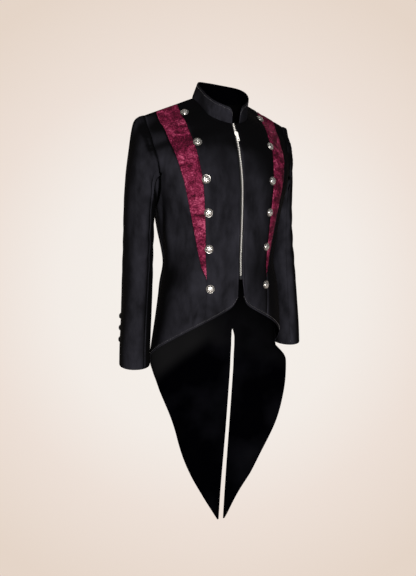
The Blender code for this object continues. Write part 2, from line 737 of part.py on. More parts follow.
# Fittings. Each is modelled lying on its seat, facing +Z, and then placed on the cloth.
def placed(thing, point, outward, down=(0.0, 0.0, -1.0)):
    """Sets a piece on a point of the coat, its +Z outward and its -Y as near down as that allows."""
    outward = outward / np.linalg.norm(outward)
    below = np.array(down) - outward * (np.array(down) @ outward)
    below /= np.linalg.norm(below)
    across = np.cross(-below, outward)
    thing.location = tuple(point * MM)
    thing.rotation_euler = Matrix(np.array([across, -below, outward]).T.tolist()).to_euler()
    return thing


def turned_mesh(name, profile, sides, material):
    """A solid of revolution. profile lists (radius, height) from its underside to its top."""
    points, rings = [], []
    for radius, height in profile:
        count = 1 if radius == 0 else sides
        rings.append(list(range(len(points), len(points) + count)))
        for k in range(count):
            angle = 2 * pi * k / sides
            points.append(np.array([radius * cos(angle), radius * sin(angle), height]))
    faces = [list(reversed(rings[0]))]
    for low, high in zip(rings, rings[1:]):
        for k in range(sides):
            after = (k + 1) % sides
            face = [low[k], low[after], high[0]] if len(high) == 1 else [low[k], low[after], high[after], high[k]]
            faces.append(face)
    return new_mesh(name, points, faces, material)


def dome(radius, height):
    """A button's profile: a flat back, a rolled rim and a domed face."""
    rim = height * 0.28
    face = [(radius * cos(a), rim + (height - rim) * sin(a)) for a in (radians(k) for k in (0, 25, 50, 72))]
    return [(radius * 0.8, 0.0), (radius, rim * 0.4)] + face + [(0, height)]


DOME = turned_mesh("dome_button", dome(BUTTON_RADIUS, BUTTON_HEIGHT), 12, SILVER)
CUFF_DOME = turned_mesh("small_button", dome(CUFF_BUTTON_RADIUS, CUFF_BUTTON_HEIGHT), 10, BLACK_HORN)


def add_buttons(word, side):
    for number, (height, lift) in enumerate(zip(BUTTON_LEVELS, BUTTON_LIFTS), start=1):
        level = level_at(height)
        seam = smooth(INSETS, "inner", place_in(INSETS, "level", height))
        turn = turn_at(seam - BUTTON_INSET, level)
        button = link_object(f"button_{word}_{number}", DOME)
        outward = body_normal(side, turn, level)
        placed(button, body_point(side, turn, level) + outward * lift, outward)


def add_cuff_buttons(word, side):
    for number, (height, lift) in enumerate(zip(CUFF_BUTTON_LEVELS, CUFF_BUTTON_LIFTS), start=1):
        at = place_in(SLEEVES, "in_z", height) + 1
        angle = HIND_SEAM - CUFF_BUTTON_TURN
        button = link_object(f"cuff_button_{word}_{number}", CUFF_DOME)
        outward = sleeve_normal(side, angle, at)
        placed(button, sleeve_point(side, angle, at) + outward * lift, outward)


def zip_levels():
    neck = neck_level(turn_at(ZIP_EDGE, level_at(-73.0)))
    return spaced(level_at(ZIP_BOTTOM), neck - 0.05, ZIP_ROWS)


def zip_strip(name, edges, depths, material):
    """A strip down the centre front between two distances from it, +X to the wearer's left."""
    levels = zip_levels()
    layers = []
    for depth in depths:
        grid = np.zeros((len(levels), 2, 3))
        for j, level in enumerate(levels):
            for i, x in enumerate(edges):
                side = LEFT if x > 0 else RIGHT
                turn = turn_at(abs(x), level)
                grid[j, i] = body_point(side, turn, level) - body_normal(side, turn, level) * depth
        layers.append(grid)
    return wall(name, layers[0], layers[1], material, flip=False)


def plate_mesh(name, loops, low, high, material):
    """A flat plate between two heights. loops holds its outline and then its holes."""
    flat = [point for loop in loops for point in loop]
    triangles = tessellate_polygon([[Vector((x, y, 0)) for x, y in loop] for loop in loops])
    points = [np.array([x, y, height]) for height in (low, high) for x, y in flat]
    faces = []
    for a, b, c in triangles:
        (ax, ay), (bx, by), (cx, cy) = flat[a], flat[b], flat[c]
        if (bx - ax) * (cy - ay) - (by - ay) * (cx - ax) < 0:
            b, c = c, b
        faces += [[a + len(flat), b + len(flat), c + len(flat)], [c, b, a]]
    start = 0
    for loop in loops:
        ring = list(range(start, start + len(loop)))
        area = sum(x0 * y1 - x1 * y0 for (x0, y0), (x1, y1) in zip(loop, loop[1:] + loop[:1]))
        if (area > 0) != (start == 0):
            ring.reverse()
        for here, there in zip(ring, ring[1:] + ring[:1]):
            faces.append([here, there, there + len(flat), here + len(flat)])
        start += len(loop)
    return new_mesh(name, points, faces, material)


def rounded(half_x, half_y, corner, middle=(0.0, 0.0), steps=3):
    """A rectangle with rounded corners, anticlockwise."""
    found = []
    for sign_x, sign_y, start in ((1, 1, 0), (-1, 1, 90), (-1, -1, 180), (1, -1, 270)):
        for k in range(steps + 1):
            angle = radians(start + 90 * k / steps)
            x = sign_x * (half_x - corner) + corner * cos(angle)
            y = sign_y * (half_y - corner) + corner * sin(angle)
            found.append((x + middle[0], y + middle[1]))
    return found


def joined(thing, other):
    """Adds another piece's solid to a piece, and takes the other away."""
    union = thing.modifiers.new("union", "BOOLEAN")
    union.operation, union.object = "UNION", other
    bpy.context.view_layer.update()
    made = bpy.data.meshes.new_from_object(thing.evaluated_get(bpy.context.evaluated_depsgraph_get()))
    thing.modifiers.clear()
    thing.data = made
    bpy.data.objects.remove(other)
    return thing


def add_slider(point, outward):
    """The slider: a plate over the chain, with a bail whose arch the pull tab's top bar turns in."""
    plate = link_object("zip_slider", plate_mesh("slider", [SLIDER_OUTLINE], *SLIDER_HEIGHTS, SILVER))
    low, high, foot = SLIDER_HEIGHTS[1], BAIL_TOP, BAIL_HALF_LENGTH
    arch = [(-foot, low - 0.4), (-foot + 1.0, low - 0.4), (-foot + 1.0, high - 1.0), (foot - 1.0, high - 1.0),
            (foot - 1.0, low - 0.4), (foot, low - 0.4), (foot, high - 0.6), (foot - 0.6, high),
            (-foot + 0.6, high), (-foot, high - 0.6)]
    bail_mesh = plate_mesh("bail", [arch], -BAIL_HALF_WIDTH, BAIL_HALF_WIDTH, SILVER)
    bail_mesh.transform(Matrix(((0, 0, 1), (1, 0, 0), (0, 1, 0))).to_4x4())
    joined(plate, link_object("bail", bail_mesh))
    return placed(plate, point, outward)


def add_pull_tab(point, outward):
    """The pull tab: its origin is on its hinge, the middle of the bar that the bail holds."""
    half, length = TAB_HALF_WIDTH, TAB_LENGTH
    outline = [(-half, 0.6), (-half, -TAB_EYE - 1.2), (-half - 0.4, -length + 2.0), (-half + 1.4, -length),
               (half - 1.4, -length), (half + 0.4, -length + 2.0), (half, -TAB_EYE - 1.2), (half, 0.6)]
    eye = [(half - 1.1, -0.6), (half - 1.1, -TAB_EYE), (-half + 1.1, -TAB_EYE), (-half + 1.1, -0.6)]
    hole = [(TAB_HOLE * cos(a), TAB_HOLE * sin(a) - length + 4.2) for a in (2 * pi * k / 12 for k in range(12))]
    thickness = TAB_THICKNESS / 2
    tab = link_object("zip_pull_tab", plate_mesh("pull_tab", [outline, eye, hole], -thickness, thickness, SILVER))
    return placed(tab, point + outward * TAB_HINGE_HEIGHT, outward)


def add_zip():
    zip_strip("zip_chain", (-CHAIN_HALF, CHAIN_HALF), CHAIN_DEPTHS, SILVER)
    zip_strip("zip_tape_right", (-TAPE_EDGES[1], -TAPE_EDGES[0]), TAPE_DEPTHS, TAPE)
    zip_strip("zip_tape_left", TAPE_EDGES, TAPE_DEPTHS, TAPE)
    level = level_at(SLIDER_LEVEL)
    point, outward = body_point(LEFT, -1.0, level), body_normal(LEFT, -1.0, level)
    outward = np.array([0.0, outward[1], outward[2]])
    outward /= np.linalg.norm(outward)
    add_slider(point, outward)
    add_pull_tab(point, outward)
    level = level_at(ZIP_BOTTOM - RETAINER_DROP)
    retainer = link_object("zip_retainer", plate_mesh("retainer", [rounded(3.6, 4.5, 1.0)], -3.4, 0.4, BLACK_METAL))
    placed(retainer, body_point(LEFT, -1.0, level), body_normal(LEFT, -1.0, level))


for word, side in SIDES.items():
    add_front(word, side)
    add_back(word, side)
    add_sleeve(word, side)
    add_buttons(word, side)
    add_cuff_buttons(word, side)
add_collar()
add_zip()
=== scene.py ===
"""The looks of a black velvet tailcoat: stand collar, front zip, burgundy insets, domed metal buttons.

The coat is worn-shaped and hollow. Sizes in the coat's own sections are millimetres, and every mesh is made
in metres. +X is the wearer's left, -Y the front and +Z up; the origin is the middle of the neck.
"""

from collections import namedtuple
from math import acos, atan2, cos, degrees, exp, pi, radians, sin, sqrt

import bmesh
import bpy
import numpy as np
from mathutils import Matrix, Vector


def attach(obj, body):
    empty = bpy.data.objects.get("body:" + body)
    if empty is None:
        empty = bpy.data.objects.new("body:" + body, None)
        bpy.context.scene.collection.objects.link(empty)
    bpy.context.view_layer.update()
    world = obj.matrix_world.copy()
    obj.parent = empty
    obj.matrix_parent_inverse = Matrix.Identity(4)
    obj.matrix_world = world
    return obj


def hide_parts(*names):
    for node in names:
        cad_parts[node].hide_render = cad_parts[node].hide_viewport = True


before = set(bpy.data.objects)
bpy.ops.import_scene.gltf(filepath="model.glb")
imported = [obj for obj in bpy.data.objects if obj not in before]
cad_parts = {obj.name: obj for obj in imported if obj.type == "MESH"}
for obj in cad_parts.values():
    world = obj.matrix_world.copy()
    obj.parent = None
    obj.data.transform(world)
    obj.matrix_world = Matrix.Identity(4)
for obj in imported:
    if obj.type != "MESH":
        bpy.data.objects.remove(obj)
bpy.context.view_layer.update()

# The studio: a portrait camera a little above the waist, turned to the coat's right front, before a pale
# seamless paper sweep. One broad soft light stands behind the camera at its height, a weak one fills from
# the other side and a faint one hangs above.
CAMERA_TURN = radians(24.6)
CAMERA_TILT = radians(9.9)
CAMERA_AWAY = 1.19375
CAMERA_ASIDE = -0.02674
CAMERA_HEIGHT = -0.258
FOCAL_PIXELS = 468.0
FRAME_HEIGHT = 576

camera_data = bpy.data.cameras.new("camera")
camera_data.sensor_fit = "VERTICAL"
camera_data.sensor_height = 36.0
camera_data.lens = 36.0 * FOCAL_PIXELS / FRAME_HEIGHT
camera = bpy.data.objects.new("camera", camera_data)
bpy.context.scene.collection.objects.link(camera)
camera.location = (
    CAMERA_ASIDE * cos(CAMERA_TURN) - CAMERA_AWAY * sin(CAMERA_TURN),
    -CAMERA_ASIDE * sin(CAMERA_TURN) - CAMERA_AWAY * cos(CAMERA_TURN),
    CAMERA_HEIGHT,
)
camera.rotation_euler = (pi / 2 - CAMERA_TILT, 0.0, -CAMERA_TURN)
bpy.context.scene.camera = camera
bpy.context.scene.view_settings.view_transform = "Standard"


def colour(hex_code):
    """An sRGB hex colour as linear red, green, blue and alpha."""
    parts = [int(hex_code[i:i + 2], 16) / 255 for i in (1, 3, 5)]
    return (*[c / 12.92 if c <= 0.04045 else ((c + 0.055) / 1.055) ** 2.4 for c in parts], 1.0)


def node(tree, kind, links=(), **settings):
    """Adds a node. settings fill its properties, or its inputs by name; links are (input, source socket)."""
    made = tree.nodes.new(kind)
    for key, value in settings.items():
        name = key.replace("_", " ")
        if hasattr(made, key):
            setattr(made, key, value)
        else:
            match = [s for s in made.inputs if s.name.lower() == name.lower()]
            match[0].default_value = value
    for target, source in links:
        socket = made.inputs[target]
        tree.links.new(source, socket)
    return made


def light(name, size, power, place, aim, tint):
    data = bpy.data.lights.new(name, "AREA")
    data.shape, data.size, data.size_y = "RECTANGLE", *size
    data.energy = power
    data.color = colour(tint)[:3]
    thing = bpy.data.objects.new(name, data)
    bpy.context.scene.collection.objects.link(thing)
    thing.location = place
    thing.rotation_euler = (Vector(aim) - Vector(place)).to_track_quat("-Z", "Y").to_euler()


light("key_light", (1.1, 1.6), 135.0, (-1.0, -2.7, -0.25), (0.0, 0.0, -0.45), "#fffaf4")
light("fill_light", (0.8, 1.8), 12.0, (1.6, -2.6, -0.2), (0.0, 0.0, -0.5), "#eef2ff")
light("top_light", (1.6, 1.2), 6.0, (-0.2, -0.6, 2.0), (0.0, 0.0, -0.2), "#ffffff")

world = bpy.data.worlds.new("studio_air")
bpy.context.scene.world = world
world.use_nodes = True
world.node_tree.nodes["Background"].inputs["Color"].default_value = colour("#ece4da")
world.node_tree.nodes["Background"].inputs["Strength"].default_value = 0.16

PAPER_FLOOR, PAPER_BACK, PAPER_BEND = -1.9, 4.2, 2.0
paper_line = [(-6.0, PAPER_FLOOR), (PAPER_BACK - PAPER_BEND, PAPER_FLOOR)]
paper_line += [
    (PAPER_BACK - PAPER_BEND + PAPER_BEND * sin(a), PAPER_FLOOR + PAPER_BEND * (1 - cos(a)))
    for a in (pi / 2 * k / 16 for k in range(1, 17))
]
paper_line += [(PAPER_BACK, 6.0)]
paper_mesh = bpy.data.meshes.new("paper_sweep")
paper_mesh.from_pydata(
    [(x, y, z) for y, z in paper_line for x in (-9.0, 9.0)],
    [],
    [(2 * k, 2 * k + 1, 2 * k + 3, 2 * k + 2) for k in range(len(paper_line) - 1)],
)
paper_mesh.shade_smooth()
paper = bpy.data.objects.new("paper_sweep", paper_mesh)
bpy.context.scene.collection.objects.link(paper)

# Seamless paper drawn as a glow, not lit: a painted pool of light, nearly white behind the coat on the line
# from the camera's place, warmer and darker towards its edges.
paper_painted_light = bpy.data.materials.new("paper_painted_light_pool")
paper_painted_light.use_nodes = True
tree = paper_painted_light.node_tree
tree.nodes.clear()
place = node(tree, "ShaderNodeTexCoord")
STAND_POINT = tuple(camera.location)
AIM = (sin(CAMERA_TURN) * cos(CAMERA_TILT), cos(CAMERA_TURN) * cos(CAMERA_TILT), -sin(CAMERA_TILT))
way = node(tree, "ShaderNodeVectorMath", [(0, place.outputs["Object"])], operation="SUBTRACT")
way.inputs[1].default_value = STAND_POINT
unit = node(tree, "ShaderNodeVectorMath", [(0, way.outputs["Vector"])], operation="NORMALIZE")
facing = node(tree, "ShaderNodeVectorMath", [(0, unit.outputs["Vector"])], operation="DOT_PRODUCT")
facing.inputs[1].default_value = AIM
fade = node(tree, "ShaderNodeMapRange", [("Value", facing.outputs["Value"])])
fade.inputs["From Min"].default_value, fade.inputs["From Max"].default_value = 1.0, 0.80
painted_light_tones = node(tree, "ShaderNodeValToRGB", [("Fac", fade.outputs["Result"])])
painted_light_tones.color_ramp.elements[0].position, painted_light_tones.color_ramp.elements[0].color = 0.0, colour("#f5f0ea")
painted_light_tones.color_ramp.elements[1].position, painted_light_tones.color_ramp.elements[1].color = 0.92, colour("#e5d5c8")
for where, tint in ((0.235, "#f3ece6"), (0.515, "#ede0d7")):
    painted_light_tones.color_ramp.elements.new(where).color = colour(tint)
# The paper glows with this painted light, though it is no lamp.
glow = node(tree, "ShaderNodeEmission", [("Color", painted_light_tones.outputs["Color"])], Strength=1.0)
node(tree, "ShaderNodeOutputMaterial", [("Surface", glow.outputs["Emission"])])
paper.data.materials.append(paper_painted_light)
paper.visible_diffuse = False

# The coat's surface. The real coat is cut from flat cloth and takes this shape on a wearer. It is drawn
# here as levels from the tail tips to the shoulders' ridge, and every panel is a piece of it.
MM = 0.001
RIGHT, LEFT = -1, 1
SIDES = {"right": RIGHT, "left": LEFT}
WALL = 2.0
SEAM_GAP = 0.3
BODY_AXIS_Y = 8.0

# Each level: its height at the middle and at the side, half its width, its depth before and behind the
# axis, how square its oval is, how late its height falls to the side, its swing to the left, and the share
# of that swing that the whole level takes.
Level = namedtuple("Level", "mid side half front back square drop sway even")
LEVELS = [
    Level(-1200, -1200, 150, 60, 38, 2.0, 2.0, 30, 1),
    Level(-1050, -1050, 172, 66, 42, 2.0, 2.0, 40, 1),
    Level(-850, -850, 195, 80, 50, 2.0, 2.0, 60, 0.84),
    Level(-720, -720, 202, 94, 56, 2.0, 2.0, 74, 0.41),
    Level(-678, -678, 200, 103, 59, 2.0, 2.0, 78, 0.22),
    Level(-643, -643, 187, 110, 61, 2.0, 2.0, 82, -0.08),
    Level(-620, -620, 186, 114, 62, 2.1, 2.0, 82, -0.08),
    Level(-540, -540, 173, 126, 72, 2.2, 2.0, 66, -0.04),
    Level(-460, -460, 159, 131, 80, 2.2, 2.0, 28, 0),
    Level(-385, -385, 145, 128, 82, 2.2, 2.0, 0, 0),
    Level(-315, -315, 157, 131, 92, 2.2, 2.0, 0, 0),
    Level(-255, -258, 166, 133, 100, 2.3, 2.0, 0, 0),
    Level(-195, -210, 180, 130, 104, 2.4, 2.0, 0, 0),
    Level(-135, -170, 196, 115, 104, 2.3, 1.8, 0, 0),
    Level(-100, -150, 202, 100, 101, 2.2, 1.6, 0, 0),
    Level(-70, -134, 206, 83, 95, 2.0, 1.45, 0, 0),
    Level(-39, -112, 209, 62, 81, 2.0, 1.3, 0, 0),
    Level(-6, -90, 209, 31, 55, 2.0, 1.15, 0, 0),
    Level(12, -71, 207, 15, 27, 2.0, 1.05, 0, 0),
    Level(20, -62, 205.5, 7, 11, 2.0, 1.0, 0, 0),
    Level(22, -59, 205, 0, 0, 2.0, 1.0, 0, 0),
]
TOP = len(LEVELS) - 1.0
RIDGE = TOP - 0.02


def smooth(table, column, at):
    """A column of a table at places between its rows, on a curve that runs through every row."""
    at = np.clip(np.asarray(at, float), 0, len(table) - 1.000001)
    row = at.astype(int)
    u = at - row
    values = np.array([getattr(entry, column) for entry in table], float)
    before, start, end, after = (values[np.clip(row + step, 0, len(table) - 1)] for step in (-1, 0, 1, 2))
    rise = end - start
    leave, arrive = (end - before) / 2, (after - start) / 2
    leave = np.where(rise * leave <= 0, 0.0, leave)
    arrive = np.where(rise * arrive <= 0, 0.0, arrive)
    limit = 3 * np.abs(rise)
    leave, arrive = np.clip(leave, -limit, limit), np.clip(arrive, -limit, limit)
    return start + leave * u + (3 * rise - 2 * leave - arrive) * u**2 + (leave + arrive - 2 * rise) * u**3


def place_in(table, column, value):
    """The place between a table's rows where a steadily changing column has this value."""
    low, high = 0.0, len(table) - 1.0
    rising = getattr(table[-1], column) > getattr(table[0], column)
    for _ in range(40):
        middle = (low + high) / 2
        if (float(smooth(table, column, middle)) < value) == rising:
            low = middle
        else:
            high = middle
    return (low + high) / 2


def level_at(height):
    return place_in(LEVELS, "mid", height)


def body_points(side, turn, level):
    """Points of the outer surface: turn is -1 at the centre front, 0 at the side, 1 at the centre back."""
    turn, level = np.broadcast_arrays(np.asarray(turn, float), np.asarray(level, float))
    half, square = smooth(LEVELS, "half", level), smooth(LEVELS, "square", level)
    mid, low = smooth(LEVELS, "mid", level), smooth(LEVELS, "side", level)
    depth = np.where(turn > 0, smooth(LEVELS, "back", level), -smooth(LEVELS, "front", level))
    across = np.abs(np.cos(turn * pi / 2)) ** (2 / square)
    along = np.abs(np.sin(turn * pi / 2)) ** (2 / square)
    past_middle = np.where(np.abs(turn) > 1, -1.0, 1.0)
    even = smooth(LEVELS, "even", level)
    sway = smooth(LEVELS, "sway", level) * (even + (1 - even) * (np.maximum(0.0, turn + 1) / 2) ** 4)
    x = side * half * across * past_middle + sway
    z = mid + (low - mid) * across ** smooth(LEVELS, "drop", level)
    return np.stack([x, BODY_AXIS_Y + depth * along, z], axis=-1)


def body_normals(side, turn, level):
    """The outward directions at points of the surface. Along the ridge they lean to neither side."""
    step = 1e-3
    turn, level = np.broadcast_arrays(np.asarray(turn, float), np.asarray(level, float))
    around = body_points(side, turn + step, level) - body_points(side, turn - step, level)
    upward = body_points(side, turn, level + step) - body_points(side, turn, level - step)
    normals = np.cross(around, upward) * side
    normals[..., 1] *= np.clip(TOP - level, 0.0, 1.0)
    return normals / np.maximum(np.linalg.norm(normals, axis=-1, keepdims=True), 1e-9)


def turn_at(distance, level, front=True):
    """The turn at which a level lies this far from the centre front or the centre back."""
    half, square = float(smooth(LEVELS, "half", level)), float(smooth(LEVELS, "square", level))
    turn = acos(min(1.0, (distance / half)) ** (square / 2)) / (pi / 2)
    return -turn if front else turn


def crossing(inside, low, high):
    """The value between low and high where inside changes from true to false."""
    for _ in range(30):
        middle = (low + high) / 2
        if inside(middle):
            low = middle
        else:
            high = middle
    return (low + high) / 2


ARMHOLE_TOP = (186.0, -52.0)
ARMHOLE_LOW = (166.0, -257.0)
ARMHOLE_RUN = np.array([ARMHOLE_TOP[0] - ARMHOLE_LOW[0], 0.0, ARMHOLE_TOP[1] - ARMHOLE_LOW[1]])
ARMHOLE_UP = ARMHOLE_RUN / np.linalg.norm(ARMHOLE_RUN)
ARMHOLE_OUT = np.array([ARMHOLE_UP[2], 0.0, -ARMHOLE_UP[0]])
ARMHOLE_MIDDLE = np.array([(ARMHOLE_TOP[0] + ARMHOLE_LOW[0]) / 2, 6.0, (ARMHOLE_TOP[1] + ARMHOLE_LOW[1]) / 2])
NECK_LEVEL = -7.0
NECK_SLOPE_FRONT = 0.84
NECK_SLOPE_BACK = 0.13


def in_body(turn, level):
    return (body_points(LEFT, turn, level) - ARMHOLE_MIDDLE) @ ARMHOLE_OUT < 0


def neck_height(y):
    return NECK_LEVEL + y * (NECK_SLOPE_FRONT if y < 0 else NECK_SLOPE_BACK)


def under_neck(turn, level):
    point = body_points(LEFT, turn, level)
    return point[2] < neck_height(point[1])


UNDERARM = crossing(lambda level: in_body(0.0, level), level_at(-330.0), level_at(-190.0))
TIP_TURN = crossing(lambda turn: in_body(turn, RIDGE), -0.9, -0.001)
NECK_TURN = crossing(lambda turn: not under_neck(turn, RIDGE), -0.999, -0.3)


def neck_level(turn):
    return crossing(lambda level: under_neck(turn, level), level_at(-180.0), RIDGE)


def spaced(start, end, count):
    return [start + (end - start) * i / count for i in range(count + 1)]


def along(places, steps):
    """Places along a track of many places, at these shares of its length over the surface."""
    places = np.array(places, float)
    points = body_points(LEFT, places[:, 0], places[:, 1])
    run = np.concatenate([[0.0], np.cumsum(np.linalg.norm(np.diff(points, axis=0), axis=1))])
    wanted = np.asarray(steps) * run[-1]
    return np.stack([np.interp(wanted, run, places[:, k]) for k in (0, 1)], axis=-1)


def armhole_track(front):
    """Many places round the armhole, from the underarm to the shoulder tip."""
    sign = -1 if front else 1
    low, high = level_at(-330.0), level_at(-170.0)
    track = [(turn, crossing(lambda level: in_body(turn, level), low, high))
             for turn in spaced(0.0, 0.3 * sign, 14)]
    for level in spaced(track[-1][1], RIDGE, 50)[1:-1]:
        track.append((crossing(lambda turn: in_body(turn, level), sign * 0.95, 0.0), level))
    return track + [(TIP_TURN if front else -TIP_TURN, RIDGE)]


# Velvet: a dense cut pile on a woven ground. Its colour carries painted light and shade: a soft blue-grey
# where the cloth faces one fixed way, forward, down and to the wearer's right, and painted black as shade on
# shoulders, flanks and the far chest, which face away. Its tone also varies in cloudy patches a few
# centimetres across.
PAINTED_LIGHT_FROM = (-0.43, -0.80, -0.42)


def painted_light_share(tree, low, high):
    """Painted light and shade: 1 where the cloth faces one fixed way and is painted lit, 0 where it faces
    away.
    """
    slope = node(tree, "ShaderNodeNewGeometry")
    facing_painted_light = node(tree, "ShaderNodeVectorMath", [(0, slope.outputs["Normal"])], operation="DOT_PRODUCT")
    facing_painted_light.inputs[1].default_value = PAINTED_LIGHT_FROM
    lean = node(tree, "ShaderNodeMapRange", [("Value", facing_painted_light.outputs["Value"])],
                interpolation_type="SMOOTHSTEP")
    lean.inputs["From Min"].default_value, lean.inputs["From Max"].default_value = low, high
    return lean.outputs["Result"]


def velvet(name, deep, lit, patchy, patch_mm, mottle_mm):
    """A cut pile with painted light: the deep colour as painted shade where it faces away, the lit colour
    where it faces, uneven in patches and mottles this wide.
    """
    material = bpy.data.materials.new(name)
    material.use_nodes = True
    tree = material.node_tree
    shader = tree.nodes["Principled BSDF"]
    place = node(tree, "ShaderNodeTexCoord")
    drawn = node(tree, "ShaderNodeMapping", [("Vector", place.outputs["Object"])], Scale=(1.0, 1.0, 0.5))
    patches = node(tree, "ShaderNodeTexNoise", [("Vector", drawn.outputs["Vector"])],
                   Scale=1000.0 / patch_mm, Detail=2.0, Roughness=0.5, Distortion=0.6)
    clouds = node(tree, "ShaderNodeTexNoise", [("Vector", drawn.outputs["Vector"])],
                  Scale=1000.0 / mottle_mm, Detail=3.0, Roughness=0.6)
    mixed = node(tree, "ShaderNodeMix", [("A", patches.outputs["Fac"]), ("B", clouds.outputs["Fac"])],
                 data_type="FLOAT", Factor=0.32)
    spread = node(tree, "ShaderNodeMapRange", [("Value", mixed.outputs["Result"])])
    spread.inputs["From Min"].default_value, spread.inputs["From Max"].default_value = 0.34, 0.64
    uneven = node(tree, "ShaderNodeMapRange", [("Value", spread.outputs["Result"])])
    uneven.inputs["To Min"].default_value = 1.0 - patchy
    # Painted light: the lit share follows which way the cloth faces, times the random patches.
    nap = node(tree, "ShaderNodeMath", [(0, uneven.outputs["Result"]), (1, painted_light_share(tree, 0.50, 0.90))],
               operation="MULTIPLY")
    tone = node(tree, "ShaderNodeMix", [("Factor", nap.outputs["Value"])], data_type="RGBA")
    tone.inputs["A"].default_value, tone.inputs["B"].default_value = colour(deep), colour(lit)
    tree.links.new(tone.outputs["Result"], shader.inputs["Base Color"])
    shader.inputs["Roughness"].default_value = 0.85
    shader.inputs["Specular IOR Level"].default_value = 0.02
    pile = node(tree, "ShaderNodeTexNoise", [("Vector", place.outputs["Object"])], Scale=900.0, Detail=3.0)
    brushed = node(tree, "ShaderNodeTexNoise", [("Vector", drawn.outputs["Vector"])], Scale=120.0, Detail=4.0)
    low = node(tree, "ShaderNodeBump", [("Height", brushed.outputs["Fac"])], Strength=0.35, Distance=0.0012)
    fine = node(tree, "ShaderNodeBump", [("Height", pile.outputs["Fac"]), ("Normal", low.outputs["Normal"])],
                Strength=0.5, Distance=0.0005)
    tree.links.new(fine.outputs["Normal"], shader.inputs["Normal"])
    return material


# The body's velvet: its deep and lit colours are painted shade and painted light.
BLACK_VELVET = velvet("black_cut_velvet", "#040405", "#212127", patchy=0.75, patch_mm=48.0, mottle_mm=14.0)

# The lining: black acetate satin with a twill weave. It is drawn matt and darker still than the velvet: its
# near-black colour is partly the satin's own black and partly painted shade for the inside of the coat.
LINING = bpy.data.materials.new("black_satin_lining_painted_shade")
LINING.use_nodes = True
tree = LINING.node_tree
shader = tree.nodes["Principled BSDF"]
place = node(tree, "ShaderNodeTexCoord")
weave = node(tree, "ShaderNodeTexWave", [("Vector", place.outputs["Object"])], wave_type="BANDS",
             bands_direction="DIAGONAL", Scale=420.0, Distortion=1.0)
ripples = node(tree, "ShaderNodeBump", [("Height", weave.outputs["Fac"])], Strength=0.2, Distance=0.0004)
tree.links.new(ripples.outputs["Normal"], shader.inputs["Normal"])
shader.inputs["Base Color"].default_value = colour("#010102")
shader.inputs["Roughness"].default_value = 0.7
shader.inputs["Specular IOR Level"].default_value = 0.0


# Panels. Each is two layers of cloth about 2 mm thick with turned edges: a grid of points over the coat's
# surface, moved in along its normals for the inner layer, and rolled over at the seams.
STITCH_INSET = 6.0


def edge_steps(length, spacing, start, end):
    """Shares of a length: close together beside an edge, for its roll and its stitching, and then even."""
    fine = {"seam": [0.0, 0.8, 2.0, 4.5], "edge": [0.0, 0.5, 1.4, 4.6, 6.0, 7.4], None: [0.0]}
    low, high = fine[start], [length - d for d in reversed(fine[end])]
    count = max(2, round((high[0] - low[-1]) / spacing))
    return np.array(low[:-1] + spaced(low[-1], high[0], count) + high[1:]) / length


def track_length(side, track):
    points = body_points(side, *np.array(track, float).T)
    return float(np.linalg.norm(np.diff(points, axis=0), axis=1).sum())


def panel_places(left, right, bottom, top, shares, columns, fade=3):
    """Places between four edge tracks. The left and right ones are lists of parts that keep level."""
    def edge(parts):
        found = [along(part, steps) for part, steps in zip(parts, shares)]
        return np.concatenate([found[0]] + [places[1:] for places in found[1:]])
    left, right, bottom, top = edge(left), edge(right), along(bottom, columns), along(top, columns)
    rise, width = np.linspace(0, 1, len(left))[:, None, None], columns[None, :, None]
    across = (1 - width) * left[:, None] + width * right[:, None]
    return across + (1 - rise) ** fade * (bottom - across[0]) + rise**fade * (top - across[-1])


def from_edges(points):
    """How far each point of a grid lies from the grid's left, right, bottom and top edges, over the cloth."""
    across = np.linalg.norm(np.diff(points, axis=1), axis=-1)
    up = np.linalg.norm(np.diff(points, axis=0), axis=-1)
    left = np.pad(np.cumsum(across, axis=1), ((0, 0), (1, 0)))
    bottom = np.pad(np.cumsum(up, axis=0), ((1, 0), (0, 0)))
    return {"left": left, "right": left[:, -1:] - left, "bottom": bottom, "top": bottom[-1:] - bottom}


def edge_dip(points, seams):
    """How far the cloth sinks at its edges: a seam's ditch, or a turned edge's roll and its stitched line."""
    dip = np.zeros(points.shape[:2])
    for edge, distance in from_edges(points).items():
        ditch = 1.3 * np.exp(-(distance / 2.2) ** 2)
        turned = 0.9 * np.exp(-(distance / 0.9) ** 2) + 0.45 * np.exp(-((distance - STITCH_INSET) / 0.9) ** 2)
        dip = np.maximum(dip, ditch if edge in seams else turned)
    return dip


def shell(name, outer, inner, materials, flip):
    """A closed wall between two grids of points, with the inner layer in the second material."""
    rows, columns = outer.shape[:2]
    count = rows * columns
    index = np.arange(count).reshape(rows, columns)
    a, b, c, d = index[:-1, :-1], index[:-1, 1:], index[1:, 1:], index[1:, :-1]
    faces = np.stack([a, b, c, d], axis=-1).reshape(-1, 4)
    back = faces[:, ::-1] + count
    rim = np.concatenate([index[0, :-1], index[:-1, -1], index[-1, :0:-1], index[:0:-1, 0]])
    after = np.roll(rim, -1)
    edge = np.stack([after, rim, rim + count, after + count], axis=-1)
    every = np.concatenate([faces, back, edge])
    if flip:
        every = every[:, ::-1]
    mesh = bpy.data.meshes.new(name)
    points = np.concatenate([outer.reshape(-1, 3), inner.reshape(-1, 3)]) * MM
    mesh.from_pydata(points.tolist(), [], every.tolist())
    for material in materials:
        mesh.materials.append(material)
    kinds = np.zeros(len(every), int)
    kinds[len(faces):2 * len(faces)] = 1
    mesh.polygons.foreach_set("material_index", kinds)
    mesh.shade_smooth()
    mesh.set_sharp_from_angle(angle=radians(50))
    mesh.validate()
    thing = bpy.data.objects.new(name, mesh)
    bpy.context.scene.collection.objects.link(thing)
    return thing


def declare_cloth(thing, node_name):
    """Attaches the cloth to the coat and hides the part that it stands for."""
    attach(thing, "coat")
    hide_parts(node_name)


